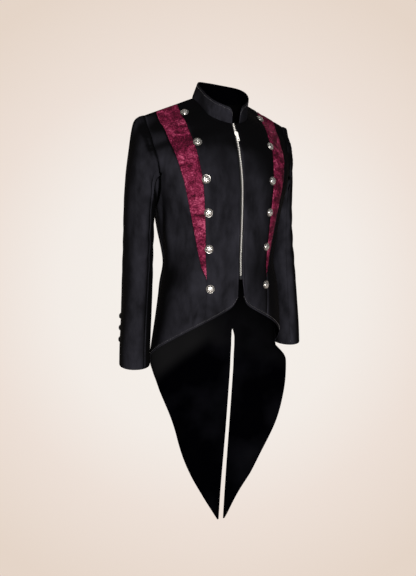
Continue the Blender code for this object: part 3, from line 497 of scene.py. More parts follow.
def pulled_in(points, amount, edges):
    """The grid with the named edges moved in by this amount, square to the edge."""
    points = points.copy()
    moves = {"left": (np.s_[:, 0], np.s_[:, 1]), "right": (np.s_[:, -1], np.s_[:, -2]),
             "bottom": (np.s_[0], np.s_[1]), "top": (np.s_[-1], np.s_[-2])}
    for edge in edges:
        rim, next_to_it = moves[edge]
        run = np.gradient(points[rim], axis=0)
        run /= np.linalg.norm(run, axis=-1, keepdims=True)
        inward = points[next_to_it] - points[rim]
        inward -= run * (inward * run).sum(axis=-1, keepdims=True)
        points[rim] = points[rim] + inward / np.linalg.norm(inward, axis=-1, keepdims=True) * amount
    return points


def beside_armhole(grid, side, away):
    """The points of a wall above the underarm, kept on the body's (-1) or the sleeve's (1) side."""
    mirror = np.array([side, 1, 1])
    grid = grid * mirror
    clear = away * ((grid - ARMHOLE_MIDDLE) @ ARMHOLE_OUT) - (SEAM_GAP if away > 0 else 0.0)
    high = (grid[..., 2] > ARMHOLE_LOW[1] - 4) & (grid[..., 0] > ARMHOLE_LOW[0] - 30)
    short = np.where(high, np.maximum(0.0, -clear), 0.0)
    return (grid + away * short[..., None] * ARMHOLE_OUT) * mirror


def body_panel(name, side, edges, spacing, seams, relief, materials):
    """A panel of the body between four edge tracks, with relief(points) standing on it."""
    left, right, bottom, top = edges
    kinds = {edge: "seam" if edge in seams else "edge" for edge in ("left", "right", "bottom", "top")}
    shares = []
    for number, parts in enumerate(zip(left, right)):
        tall = max(track_length(side, part) for part in parts)
        shares.append(edge_steps(tall, spacing, kinds["bottom"] if number == 0 else None,
                                 kinds["top"] if number == len(left) - 1 else None))
    wide = max(track_length(side, bottom), track_length(side, top))
    places = panel_places(left, right, bottom, top, shares,
                          edge_steps(wide, spacing, kinds["left"], kinds["right"]))
    turns, levels = places[..., 0], places[..., 1]
    points = body_points(side, turns, levels)
    normals = body_normals(side, turns, levels)
    lifted = points + normals * relief(points)[..., None]
    outer = lifted - normals * edge_dip(points, seams)[..., None]
    layers = []
    for grid in (outer, lifted - normals * WALL):
        grid = beside_armhole(pulled_in(grid, SEAM_GAP / 2, seams), side, -1)
        if turns[0, 0] < 0:
            grid[..., 1] = np.minimum(grid[..., 1], BODY_AXIS_Y - SEAM_GAP / 2)
        else:
            grid[..., 1] = np.maximum(grid[..., 1], BODY_AXIS_Y + SEAM_GAP / 2)
        layers.append(grid)
    thing = shell(f"{name}_cloth", *layers, materials, flip=side == RIGHT)
    declare_cloth(thing, name)
    return outer, normals


def ripple(across, height, phase):
    """A soft wave, sharper in its troughs than over its crests, between 0 and -height."""
    wave = 0.5 + 0.5 * np.sin(across * 2 * pi + phase)
    return -height * (1 - wave**0.7)


# The fronts: a centre panel from the zip to the inset's seam, a burgundy inset and a side panel, each cut in
# one from the shoulder to the hem. The front edge is rounded off below the zip and the hem cut away.
ZIP_EDGE = 4.0
ZIP_BOTTOM, ZIP_TOP = -417.0, -73.0
INSET_TIP, SEAM_FOOT, CHEST = -438.0, -535.0, -172.0
Inset = namedtuple("Inset", "level inner outer")
INSETS = [
    Inset(-640, 92, 92), Inset(-438, 81, 81), Inset(-400, 81, 90), Inset(-300, 85, 110),
    Inset(-200, 92, 129.5), Inset(-120, 99.5, 143), Inset(-50, 105, 151), Inset(22, 108, 160),
]
Hem = namedtuple("Hem", "turn level")
HEMS = [
    Hem(-0.97, -474), Hem(-0.93, -492), Hem(-0.80, -513), Hem(-0.60, -540), Hem(-0.35, -575),
    Hem(-0.15, -603), Hem(0.0, -628),
]


def hem_level(turn):
    return level_at(float(smooth(HEMS, "level", place_in(HEMS, "turn", turn))))


def inset_edge(column, level):
    height = float(smooth(LEVELS, "mid", level))
    return turn_at(float(smooth(INSETS, column, place_in(INSETS, "level", height))), level)


def inset_track(column, start, end, count):
    return [(inset_edge(column, level), level) for level in spaced(start, end, count)]


tip = level_at(INSET_TIP)
hem_start = hem_level(inset_edge("inner", level_at(SEAM_FOOT)))
chest = level_at(CHEST)
low_seam = inset_track("inner", hem_start, tip, 12)
inner_seam = [low_seam, inset_track("inner", tip, chest, 30), inset_track("inner", chest, RIDGE, 50)]
outer_seam = [
    low_seam, inset_track("outer", tip, UNDERARM, 30), inset_track("outer", UNDERARM, RIDGE, 50),
]
zip_bottom = level_at(ZIP_BOTTOM)
zip_top = neck_level(turn_at(ZIP_EDGE, level_at(ZIP_TOP)))
corner_level = level_at(HEMS[0].level)
corner_spread = turn_at(ZIP_EDGE, zip_bottom) - HEMS[0].turn
front_corner = [
    (HEMS[0].turn + corner_spread * share**0.6, corner_level + (zip_bottom - corner_level) * share)
    for share in spaced(0.0, 1.0, 10)
]
zip_edge = [(turn_at(ZIP_EDGE, level), level) for level in spaced(zip_bottom, zip_top, 60)]
neck_front = [(turn, neck_level(turn)) for turn in spaced(zip_edge[-1][0], NECK_TURN - 0.002, 40)]
neck_front[-1] = (NECK_TURN, RIDGE)
front_edge = [front_corner, zip_edge, neck_front]
front_hem = [(turn, hem_level(turn)) for turn in spaced(HEMS[0].turn, low_seam[0][0], 30)]
front_ridge = [(turn, RIDGE) for turn in spaced(NECK_TURN, inner_seam[-1][-1][0], 12)]
side_hem = [(turn, hem_level(turn)) for turn in spaced(low_seam[0][0], 0.0, 30)]
side_ridge = [(turn, RIDGE) for turn in spaced(outer_seam[-1][-1][0], TIP_TURN, 10)]
side_seam = [(0.0, level) for level in spaced(hem_level(0.0), UNDERARM, 40)]
side_low = [(0.0, level) for level in spaced(hem_level(0.0), tip, 12)]
side_high = [(0.0, level) for level in spaced(tip, UNDERARM, 30)]


def front_relief(points):
    """Slack beside the zip, and a soft pull from the bust down to the waist."""
    x, z = np.abs(points[..., 0]), points[..., 2]
    beside_zip = np.exp(-((x - ZIP_EDGE) / 16.0) ** 2)
    waves = 0.5 * np.sin(z / 13.0) + 0.35 * np.sin(z / 7.3 + 1.0)
    pull = 1.2 * np.sin(x / 17.0 + z / 90.0) * np.exp(-((z + 330) / 150.0) ** 2)
    return beside_zip * waves + pull


def side_relief(points):
    """Folds that hang from the front of the armhole and gather softly at the waist."""
    x, y, z = np.abs(points[..., 0]), points[..., 1], points[..., 2]
    from_arm = np.exp(-((z + 265) / 115.0) ** 2) * np.clip((x - 96) / 50.0, 0.0, 1.0)
    folds = ripple((y + 0.30 * z) / 46.0, 3.0, 0.6)
    waist = 1.1 * np.sin((z + 0.35 * y) / 16.0) * np.exp(-((z + 400) / 60.0) ** 2)
    return folds * from_arm + waist * np.clip((x - 100) / 30.0, 0.0, 1.0)


body_grids = {}
for word, side in SIDES.items():
    body_grids[f"front_{word}"] = body_panel(
        f"front_{word}", side, (front_edge, inner_seam, front_hem, front_ridge), spacing=5.0,
        seams=("right", "top"), relief=front_relief, materials=[BLACK_VELVET, LINING],
    )
    body_grids[f"side_{word}"] = body_panel(
        f"side_front_{word}", side,
        (outer_seam, [side_low, side_high, armhole_track(True)], side_hem, side_ridge), spacing=5.0,
        seams=("left", "right", "top"), relief=side_relief, materials=[BLACK_VELVET, LINING],
    )

# The burgundy insets: crushed velvet, its pile pressed flat in a web of short creases. The crushed pattern is
# the cloth's own; its tones are painted light, rose as painted highlight where the creases would catch the
# light and wine as painted shade between, a little darker again where the cloth faces away. The creases run
# mostly across the strip, 5 to 15 mm long.
CRUSHED = bpy.data.materials.new("burgundy_crushed_velvet")
CRUSHED.use_nodes = True
tree = CRUSHED.node_tree
shader = tree.nodes["Principled BSDF"]
place = node(tree, "ShaderNodeTexCoord")
turned = node(tree, "ShaderNodeMapping", [("Vector", place.outputs["Object"])],
              Rotation=(0.0, radians(24), 0.0), Scale=(1.0, 1.0, 1.3))
crush = node(tree, "ShaderNodeTexNoise", [("Vector", turned.outputs["Vector"])],
             Scale=80.0, Detail=4.0, Roughness=0.62, Distortion=3.2)
broad = node(tree, "ShaderNodeTexNoise", [("Vector", turned.outputs["Vector"])], Scale=24.0, Detail=2.0,
             Distortion=1.4)
both = node(tree, "ShaderNodeMix", [("A", crush.outputs["Fac"]), ("B", broad.outputs["Fac"])],
            data_type="FLOAT", Factor=0.42)
# Painted shade: the crushed tones sink where the cloth faces away.
painted_light_lift = node(tree, "ShaderNodeMapRange", [("Value", painted_light_share(tree, 0.45, 0.85))])
painted_light_lift.inputs["To Min"].default_value, painted_light_lift.inputs["To Max"].default_value = -0.03, 0.005
lifted = node(tree, "ShaderNodeMath", [(0, both.outputs["Result"]), (1, painted_light_lift.outputs["Result"])],
              operation="ADD")
ramp = node(tree, "ShaderNodeValToRGB", [("Fac", lifted.outputs["Value"])])
ramp.color_ramp.elements[0].position, ramp.color_ramp.elements[0].color = 0.40, colour("#2a0613")
ramp.color_ramp.elements[1].position, ramp.color_ramp.elements[1].color = 0.64, colour("#a04a66")
for where, tint in ((0.465, "#480c22"), (0.54, "#6a1c38")):
    ramp.color_ramp.elements.new(where).color = colour(tint)
tree.links.new(ramp.outputs["Color"], shader.inputs["Base Color"])
creases = node(tree, "ShaderNodeBump", [("Height", both.outputs["Result"])], Strength=0.7, Distance=0.006)
tree.links.new(creases.outputs["Normal"], shader.inputs["Normal"])
shader.inputs["Roughness"].default_value = 0.6
shader.inputs["Specular IOR Level"].default_value = 0.04

CRUSH_SEED = 7


def inset_relief(points):
    """Short shallow creases across the strip."""
    z, x = points[..., 2], np.abs(points[..., 0])
    generator = np.random.default_rng(CRUSH_SEED)
    height = np.zeros(points.shape[:2])
    for _ in range(60):
        at, slope = generator.uniform(-430, 10), generator.uniform(-0.5, 0.5)
        wide, middle = generator.uniform(2.5, 5.0), generator.uniform(80, 155)
        crease = np.exp(-((z - at - slope * (x - middle)) / wide) ** 2)
        height -= 0.9 * crease * np.exp(-((x - middle) / 14.0) ** 2)
    return height


inset_start = tip + 0.15
inset_inner = inset_track("inner", inset_start, RIDGE, 60)
inset_outer = inset_track("outer", inset_start, RIDGE, 60)
for word, side in SIDES.items():
    body_grids[f"inset_{word}"] = body_panel(
        f"inset_{word}", side,
        ([inset_inner], [inset_outer], [inset_inner[0], inset_outer[0]], [inset_inner[-1], inset_outer[-1]]),
        spacing=3.0, seams=("left", "right", "top"), relief=inset_relief, materials=[CRUSHED, LINING],
    )

# The backs: each cut in one with its tail, from the neck to a pointed tip, with an open vent between them
# below the waist. The skirt flares and swings to the wearer's left.
VENT_TOP, TAIL_TIP = -600.0, -1168.0
VENT_GAP_TOP, VENT_GAP_TIP = 10.0, 14.0
TAIL_EDGES = [
    Hem(0.0, -628), Hem(0.02, -668), Hem(0.13, -715), Hem(0.27, -800), Hem(0.40, -900),
    Hem(0.577, -1000), Hem(0.76, -1085), Hem(0.954, -1168),
]


def vent_distance(level):
    height = float(smooth(LEVELS, "mid", level))
    if height > VENT_TOP:
        return SEAM_GAP / 2
    share = (VENT_TOP - height) / (VENT_TOP - TAIL_TIP)
    opened = min(1.0, (VENT_TOP - height) / 25.0) ** 0.5
    return opened * (VENT_GAP_TOP + (VENT_GAP_TIP - VENT_GAP_TOP) * share) / 2


vent_level = level_at(VENT_TOP)


def beside_vent(levels):
    return [(turn_at(vent_distance(level), level, front=False), level) for level in levels]


centre_back = [
    beside_vent(spaced(level_at(TAIL_TIP), vent_level, 90)),
    beside_vent(spaced(vent_level, UNDERARM, 30)),
    beside_vent(spaced(UNDERARM, neck_level(0.9995), 50)),
]
tail_edge = [
    (float(smooth(TAIL_EDGES, "turn", row)), level_at(float(smooth(TAIL_EDGES, "level", row))))
    for row in spaced(len(TAIL_EDGES) - 1.0, 0.0, 60)
]
back_edge = [tail_edge, side_seam, armhole_track(False)]
neck_back = [(turn, neck_level(turn)) for turn in spaced(centre_back[-1][-1][0], 0.002 - NECK_TURN, 30)]
back_top = neck_back + [(turn, RIDGE) for turn in spaced(-NECK_TURN, -TIP_TURN, 30)[1:]]
back_bottom = [centre_back[0][0], tail_edge[0]]


# Inside the skirt the lining is drawn a little lighter in a strip about 60 mm deep below the fronts' hem. It
# shows matt, and the strip fades to the wearer's left as painted shade, away from the light. Around it the
# satin carries a painted sheen in soft random patches.
LIGHTER_STRIP_LINING = bpy.data.materials.new("satin_lining_lighter_strip_painted_sheen")
LIGHTER_STRIP_LINING.use_nodes = True
tree = LIGHTER_STRIP_LINING.node_tree
shader = tree.nodes["Principled BSDF"]
place = node(tree, "ShaderNodeTexCoord")
parts = node(tree, "ShaderNodeSeparateXYZ", [("Vector", place.outputs["Object"])])
off_centre = node(tree, "ShaderNodeMath", [(0, parts.outputs["X"])], operation="ABSOLUTE")
slant = node(tree, "ShaderNodeMath", [(0, off_centre.outputs["Value"]), (2, parts.outputs["Z"])],
             operation="MULTIPLY_ADD")
slant.inputs[1].default_value = 0.42
upper = node(tree, "ShaderNodeMapRange", [("Value", slant.outputs["Value"])], interpolation_type="SMOOTHSTEP")
upper.inputs["From Min"].default_value, upper.inputs["From Max"].default_value = -0.650, -0.600
# Painted shade: the strip darkens towards the wearer's left.
painted_shade_to_left = node(tree, "ShaderNodeMapRange", [("Value", parts.outputs["X"])], interpolation_type="SMOOTHSTEP")
painted_shade_to_left.inputs["From Min"].default_value, painted_shade_to_left.inputs["From Max"].default_value = -0.06, 0.08
painted_shade_to_left.inputs["To Min"].default_value, painted_shade_to_left.inputs["To Max"].default_value = 1.0, 0.2
strip = node(tree, "ShaderNodeMath", [(0, upper.outputs["Result"]), (1, painted_shade_to_left.outputs["Result"])],
             operation="MULTIPLY")
cloth = node(tree, "ShaderNodeMix", [("Factor", strip.outputs["Value"])], data_type="RGBA")
cloth.inputs["B"].default_value = colour("#101011")
# Painted sheen: soft random patches of lighter satin.
painted_sheen_noise = node(tree, "ShaderNodeTexNoise", [("Vector", place.outputs["Object"])], Scale=7.0, Detail=3.0)
painted_sheen_patches = node(tree, "ShaderNodeMapRange", [("Value", painted_sheen_noise.outputs["Fac"])])
painted_sheen_patches.inputs["From Min"].default_value, painted_sheen_patches.inputs["From Max"].default_value = 0.45, 0.72
satin = node(tree, "ShaderNodeMix", [("Factor", painted_sheen_patches.outputs["Result"])], data_type="RGBA")
satin.inputs["A"].default_value, satin.inputs["B"].default_value = colour("#010102"), colour("#08080b")
tree.links.new(satin.outputs["Result"], cloth.inputs["A"])
tree.links.new(cloth.outputs["Result"], shader.inputs["Base Color"])
pile = node(tree, "ShaderNodeTexNoise", [("Vector", place.outputs["Object"])], Scale=160.0, Detail=3.0)
nap = node(tree, "ShaderNodeBump", [("Height", pile.outputs["Fac"])], Strength=0.3, Distance=0.0008)
tree.links.new(nap.outputs["Normal"], shader.inputs["Normal"])
shader.inputs["Roughness"].default_value = 0.8
shader.inputs["Specular IOR Level"].default_value = 0.0


def back_relief(points):
    """Soft folds that grow down the tails, and a pull across the shoulder blades."""
    x, z = points[..., 0], points[..., 2]
    grown = np.clip((-z - 470) / 420.0, 0.0, 1.0)
    folds = ripple(x / 82.0 + 0.05 * np.sin(z / 90.0), 4.2, 0.9) * grown
    blades = 0.8 * np.sin(z / 24.0 + np.abs(x) / 60.0) * np.exp(-((z + 130) / 70.0) ** 2)
    waist = 1.0 * np.sin(z / 15.0) * np.exp(-((z + 400) / 50.0) ** 2) * np.clip(np.abs(x) / 120.0, 0.0, 1.0)
    return folds + blades + waist


for word, side in SIDES.items():
    body_grids[f"back_{word}"] = body_panel(
        f"back_{word}", side, (back_edge, centre_back, back_bottom[::-1], back_top[::-1]), spacing=6.0,
        seams=("left", "top"), relief=back_relief, materials=[BLACK_VELVET, LIGHTER_STRIP_LINING],
    )

# The sleeves: set in at the armhole and cut in two, a top sleeve and an under sleeve, with a fore seam and a
# hind seam. The cap is eased in, so it puckers softly, and the cuff is plain.
# Each section: its outer and inner edges across and up, its middle's place and half its depth from front to
# back, how far it has left the armhole's shape for an oval, and the left sleeve's swing back and tuck in.
Sleeve = namedtuple("Sleeve", "out_x out_z in_x in_z y deep fit swing tuck")
SLEEVES = [
    Sleeve(199, -56, 168.0, -262, 6, 58, 0.10, 0, 0),
    Sleeve(211, -66, 168.4, -265, 7, 58, 0.30, 0, 8),
    Sleeve(220, -92, 168.8, -269, 8, 58, 0.55, 2, 20),
    Sleeve(226, -130, 168.8, -274, 8, 58, 0.80, 5, 21),
    Sleeve(232, -178, 169.1, -281, 9, 57, 1.0, 10, 20),
    Sleeve(237, -232, 169.4, -292, 9, 56, 1.0, 16, 18),
    Sleeve(240, -285, 170, -312, 9, 55, 1.0, 22, 12),
    Sleeve(243, -345, 171.5, -355, 9, 54, 1.0, 26, 6),
    Sleeve(248, -420, 175, -420, 9, 53, 1.0, 27, 1),
    Sleeve(254, -500, 181, -500, 8, 52, 1.0, 25, 0),
    Sleeve(261, -580, 187, -580, 6, 50, 1.0, 22, 0),
    Sleeve(264, -640, 190, -640, 4, 49, 1.0, 20, 0),
]
FORE_SEAM = -20.0
HIND_SEAM = 200.0

around_armhole = []
for turn, level in armhole_track(True) + armhole_track(False)[1:-1]:
    point = body_points(LEFT, turn, level) - ARMHOLE_MIDDLE
    around_armhole.append((degrees(atan2(point @ ARMHOLE_UP, -point[1])) % 360, point))
around_armhole.sort(key=lambda pair: pair[0])
ARMHOLE_ANGLES = np.array([angle for angle, _ in around_armhole])
ARMHOLE_POINTS = np.array([point for _, point in around_armhole])
ARMHOLE_REACH = (ARMHOLE_POINTS @ ARMHOLE_UP).max()
ARMHOLE_DEEP = np.ptp(ARMHOLE_POINTS[:, 1]) / 2


def sleeve_ring(side, angles, at):
    """A ring of a sleeve's outer surface: at is 0 at the armhole and counts the sections."""
    cut = np.stack([np.interp(angles % 360, ARMHOLE_ANGLES, ARMHOLE_POINTS[:, k], period=360)
                    for k in range(3)], axis=-1)
    start = ARMHOLE_MIDDLE + cut + ARMHOLE_OUT * SEAM_GAP
    section = min(max(at - 1, 0.0), len(SLEEVES) - 1.0)
    row = {column: float(smooth(SLEEVES, column, section)) for column in Sleeve._fields}
    shift = side == LEFT
    outer = np.array([row["out_x"] - row["tuck"] * shift, 0.0, row["out_z"]])
    inner = np.array([row["in_x"], 0.0, row["in_z"]])
    wide = np.linalg.norm(outer - inner) / 2
    over = (outer - inner) / (2 * wide)
    middle = (outer + inner) / 2 + np.array([0.0, row["y"] + row["swing"] * shift, 0.0])
    turn = np.radians(angles)[:, None]
    fore = np.array([0.0, 1.0, 0.0])
    oval = -row["deep"] * np.cos(turn) * fore + over * wide * np.sin(turn)
    shaped = cut[:, 1:2] * row["deep"] / ARMHOLE_DEEP * fore
    shaped = shaped + over * (cut @ ARMHOLE_UP)[:, None] * wide / ARMHOLE_REACH
    points = middle + shaped * (1 - row["fit"]) + oval * row["fit"]
    points = start + (points - start) * min(max(at, 0.0), 1.0)
    return points * np.array([side, 1, 1])


def sleeve_grid(side, angles, rings):
    """Points of the sleeve's surface and its outward normals, the angles running once round."""
    points = np.array([sleeve_ring(side, angles, at) for at in rings])
    around = np.empty_like(points)
    around[:, 1:-1] = points[:, 2:] - points[:, :-2]
    around[:, 0] = around[:, -1] = points[:, 1] - points[:, -2]
    normals = np.cross(np.gradient(points, axis=0), around) * side
    return points, normals / np.linalg.norm(normals, axis=-1, keepdims=True)


def sleeve_relief(points, angles, distance):
    """The cap's puckers, the pull from the armpit, and the soft folds at the bend of the arm."""
    turn, z = np.radians(angles)[None, :], points[..., 2]
    cap = np.clip(np.sin(turn), 0.0, 1.0) ** 0.5
    puckers = 0.7 * np.sin(turn * 34 + 0.8 * np.sin(turn * 7))
    puckers = puckers * np.exp(-((distance - 8.0) / 11.0) ** 2) * cap
    fullness = 1.2 * np.exp(-((distance - 22.0) / 18.0) ** 2) * cap
    bend = ripple((z + 46 * np.cos(turn)) / 52.0, 2.6, 0.4) * np.exp(-((z + 345) / 90.0) ** 2)
    drape = ripple(turn / (2 * pi) * 3.0 + z / 420.0, 2.2, 1.0)
    fade = np.clip(distance / 60.0, 0.0, 1.0)
    return puckers + fullness + (bend * (0.35 + 0.65 * np.clip(np.cos(turn), 0, 1)) + drape) * fade


sleeve_grids = {}
fine_angles = [0.0, 0.9, 2.4, 5.0]
top_angles = [FORE_SEAM + a for a in fine_angles[:-1]]
top_angles += spaced(FORE_SEAM + 5.0, HIND_SEAM - 5.0, 52)
top_angles += [HIND_SEAM - a for a in fine_angles[-2::-1]]
under_angles = [HIND_SEAM + a for a in fine_angles[:-1]]
under_angles += spaced(HIND_SEAM + 5.0, FORE_SEAM + 355.0, 32)
under_angles += [FORE_SEAM + 360 - a for a in fine_angles[-2::-1]]
angles = np.array(top_angles + under_angles[1:])
CUFF = float(len(SLEEVES))
rings = [0.0, 0.05, 0.12, 0.25, 0.4] + spaced(0.6, CUFF - 0.13, 110)
rings += [CUFF - short for short in (0.105, 0.08, 0.03, 0.01, 0.0)]
for word, side in SIDES.items():
    points, normals = sleeve_grid(side, angles, rings)
    step = np.linalg.norm(np.diff(points, axis=0), axis=-1)
    distance = np.pad(np.cumsum(step, axis=0), ((1, 0), (0, 0)))
    from_cuff = distance[-1:] - distance
    lifted = points + normals * sleeve_relief(points, angles, distance)[..., None]
    dip = 1.2 * np.exp(-(distance / 2.2) ** 2)
    turned_in = 0.9 * np.exp(-(from_cuff / 0.9) ** 2) + 0.3 * np.exp(-((from_cuff - 7.0) / 1.2) ** 2)
    dip = np.maximum(dip, turned_in)
    for seam in (FORE_SEAM, HIND_SEAM, FORE_SEAM + 360):
        dip = np.maximum(dip, 1.1 * np.exp(-((angles - seam) / 2.2) ** 2)[None, :])
    outer = lifted - normals * dip[..., None]
    inner = lifted - normals * WALL
    for name, part in (("top_sleeve", np.s_[:, :len(top_angles)]),
                       ("under_sleeve", np.s_[:, len(top_angles) - 1:])):
        layers = [pulled_in(beside_armhole(grid[part], side, 1), SEAM_GAP / 4, ("left", "right"))
                  for grid in (outer, inner)]
        thing = shell(f"{name}_{word}_cloth", *layers, [BLACK_VELVET, LINING], flip=side == LEFT)
        declare_cloth(thing, f"{name}_{word}")
        sleeve_grids[f"{name}_{word}"] = layers[0]

# The stand collar: the same velvet over a stiff canvas, with a lighter deep colour and the same painted light
# and shade, its top edge rolled, its front corners rounded and one row of stitching along its edge.
COLLAR_WALL = 2.4
COLLAR_RIGHT_END, COLLAR_LEFT_END = 2.0, 19.0
COLLAR_CORNER = 10.0
COLLAR_MEAN_HEIGHT = 38.0
Stand = namedtuple("Stand", "height lean")
STANDS = [Stand(33, -0.12), Stand(35, 0.02), Stand(41, 0.08), Stand(42, 0.20), Stand(38, -0.06),
          Stand(35, -0.25), Stand(35, -0.15)]
# The collar's velvet: painted shade and painted light as on the body, its deep colour lighter.
COLLAR_VELVET = velvet("black_collar_velvet", "#0c0c0f", "#202026", patchy=0.85, patch_mm=24.0, mottle_mm=6.0)

halves = []
for side, end in ((RIGHT, COLLAR_RIGHT_END), (LEFT, COLLAR_LEFT_END)):
    front = turn_at(end, neck_level(-0.97))
    turns = spaced(front, NECK_TURN - 0.004, 14) + spaced(0.004 - NECK_TURN, 1.0, 12)
    halves.append(np.array([body_points(side, turn, neck_level(turn)) for turn in turns]))
neck_line = np.concatenate([halves[0], halves[1][-2::-1]])
neck_run = np.concatenate([[0.0], np.cumsum(np.linalg.norm(np.diff(neck_line, axis=0), axis=1))])
COLLAR_LENGTH = neck_run[-1]


def on_line(line, run, steps):
    return np.stack([np.interp(steps, run, line[:, k]) for k in range(3)], axis=-1)


even_steps = np.linspace(0.0, COLLAR_LENGTH, 31)
even = on_line(neck_line, neck_run, even_steps)
for _ in range(9):
    even[1:-1] = (even[:-2] + 2 * even[1:-1] + even[2:]) / 4
collar_steps = edge_steps(COLLAR_LENGTH, 4.0, "edge", "edge") * COLLAR_LENGTH
corner_steps = np.array([2.5, 3.5, 9.0])
collar_steps = np.unique(np.concatenate([collar_steps, corner_steps, COLLAR_LENGTH - corner_steps]))
base_line = on_line(neck_line, neck_run, collar_steps)
for _ in range(3):
    base_line[1:-1] = (base_line[:-2] + 2 * base_line[1:-1] + base_line[2:]) / 4
soft_line = on_line(even, even_steps, collar_steps)
for _ in range(6):
    soft_line[1:-1] = (soft_line[:-2] + 2 * soft_line[1:-1] + soft_line[2:]) / 4
collar_shares = edge_steps(COLLAR_MEAN_HEIGHT, 3.0, "seam", "edge")
collar_layers = []
for depth in (0.0, COLLAR_WALL):
    grid = np.zeros((len(collar_shares), len(collar_steps), 3))
    tangents = np.gradient(soft_line, axis=0)
    for i, step in enumerate(collar_steps):
        place = step / COLLAR_LENGTH * (len(STANDS) - 1)
        cut = max(0.0, COLLAR_CORNER - min(step, COLLAR_LENGTH - step))
        height = float(smooth(STANDS, "height", place)) - COLLAR_CORNER + sqrt(COLLAR_CORNER**2 - cut**2)
        lean = float(smooth(STANDS, "lean", place))
        outward = np.array([-tangents[i, 1], tangents[i, 0], 0.0])
        outward /= np.linalg.norm(outward)
        up = np.array([0.0, 0.0, 1.0]) - outward * lean
        up /= np.linalg.norm(up)
        facing = outward - up * (outward @ up)
        facing /= np.linalg.norm(facing)
        shares = collar_shares[:, None]
        base = base_line[i] * (1 - shares) + soft_line[i] * shares
        sunk = (1.0 if depth == 0.0 else 4.0) * (1 - shares) ** 2
        grid[:, i] = base + up * (SEAM_GAP - sunk + height * shares) - facing * depth
        slack = 0.5 * sin(step / 9.0) * np.sin(collar_shares * pi)
        grid[:, i] += facing * slack[:, None]
    collar_layers.append(grid)
collar_face = collar_layers[0] - collar_layers[1]
collar_face /= np.linalg.norm(collar_face, axis=-1, keepdims=True)
collar_dip = edge_dip(collar_layers[0], ("bottom",))[..., None]
collar_layers = [collar_layers[0] - collar_face * collar_dip,
                 collar_layers[1] + collar_face * collar_dip * 0.6]
collar = shell("collar_cloth", *collar_layers, [COLLAR_VELVET, LINING], flip=True)
declare_cloth(collar, "collar")

# Stitching: one row of twisted polyester thread, 2.6 mm stitches in 3.4 mm steps, 6 mm inside the collar's
# edge and the fronts' and tails' hems. Drawn a little thicker than thread so that it shows. The sizes that
# its tree takes are metres.
STITCHES = {"Step": 0.0034, "Length": 0.0026, "Width": 0.0008, "Height": 0.0006}
TAIL_STITCHES_TOP = -640.0
THREAD = bpy.data.materials.new("black_polyester_thread")
THREAD.use_nodes = True
shader = THREAD.node_tree.nodes["Principled BSDF"]
shader.inputs["Base Color"].default_value = colour("#26262b")
shader.inputs["Roughness"].default_value = 0.45
shader.inputs["Sheen Weight"].default_value = 0.3

row_tree = bpy.data.node_groups.new("row_along_a_line", "GeometryNodeTree")
row_tree.interface.new_socket("Geometry", in_out="INPUT", socket_type="NodeSocketGeometry")
SOCKETS = {}
for label, value in (*STITCHES.items(), ("Offset", 0.0)):
    socket = row_tree.interface.new_socket(label, in_out="INPUT", socket_type="NodeSocketFloat")
    socket.default_value = value
    SOCKETS[label] = socket.identifier
material_socket = row_tree.interface.new_socket("Finish", in_out="INPUT", socket_type="NodeSocketMaterial")
SOCKETS["Finish"] = material_socket.identifier
row_tree.interface.new_socket("Geometry", in_out="OUTPUT", socket_type="NodeSocketGeometry")
begin = node(row_tree, "NodeGroupInput")
spread = node(row_tree, "GeometryNodeCurveToPoints",
              [("Curve", begin.outputs["Geometry"]), ("Length", begin.outputs["Step"])], mode="LENGTH")
turn = node(row_tree, "FunctionNodeAxesToRotation",
            [(0, spread.outputs["Tangent"]), (1, spread.outputs["Normal"])],
            primary_axis="X", secondary_axis="Z")
size = node(row_tree, "ShaderNodeCombineXYZ", [(0, begin.outputs["Length"]), (1, begin.outputs["Width"]),
                                               (2, begin.outputs["Height"])])
bead = node(row_tree, "GeometryNodeMeshIcoSphere", Radius=0.5, Subdivisions=2)
order = node(row_tree, "GeometryNodeInputIndex")
parity = node(row_tree, "ShaderNodeMath", [(0, order.outputs["Index"])], operation="MODULO")
parity.inputs[1].default_value = 2.0
signed = node(row_tree, "ShaderNodeMath", [(0, parity.outputs["Value"])], operation="MULTIPLY_ADD")
signed.inputs[1].default_value, signed.inputs[2].default_value = 2.0, -1.0
aside = node(row_tree, "ShaderNodeMath", [(0, signed.outputs["Value"]), (1, begin.outputs["Offset"])],
             operation="MULTIPLY")
shift = node(row_tree, "ShaderNodeCombineXYZ", [(1, aside.outputs["Value"])])
local = node(row_tree, "FunctionNodeRotateVector",
             [(0, shift.outputs["Vector"]), (1, turn.outputs["Rotation"])])
moved_points = node(row_tree, "GeometryNodeSetPosition",
                    [("Geometry", spread.outputs["Points"]), ("Offset", local.outputs["Vector"])])
placed_beads = node(row_tree, "GeometryNodeInstanceOnPoints",
                    [("Points", moved_points.outputs["Geometry"]), ("Instance", bead.outputs["Mesh"]),
                     ("Rotation", turn.outputs["Rotation"]), ("Scale", size.outputs["Vector"])])
whole = node(row_tree, "GeometryNodeRealizeInstances", [("Geometry", placed_beads.outputs["Instances"])])
finished = node(row_tree, "GeometryNodeSetMaterial",
                [("Geometry", whole.outputs["Geometry"]), ("Material", begin.outputs["Finish"])])
node(row_tree, "NodeGroupOutput", [("Geometry", finished.outputs["Geometry"])])


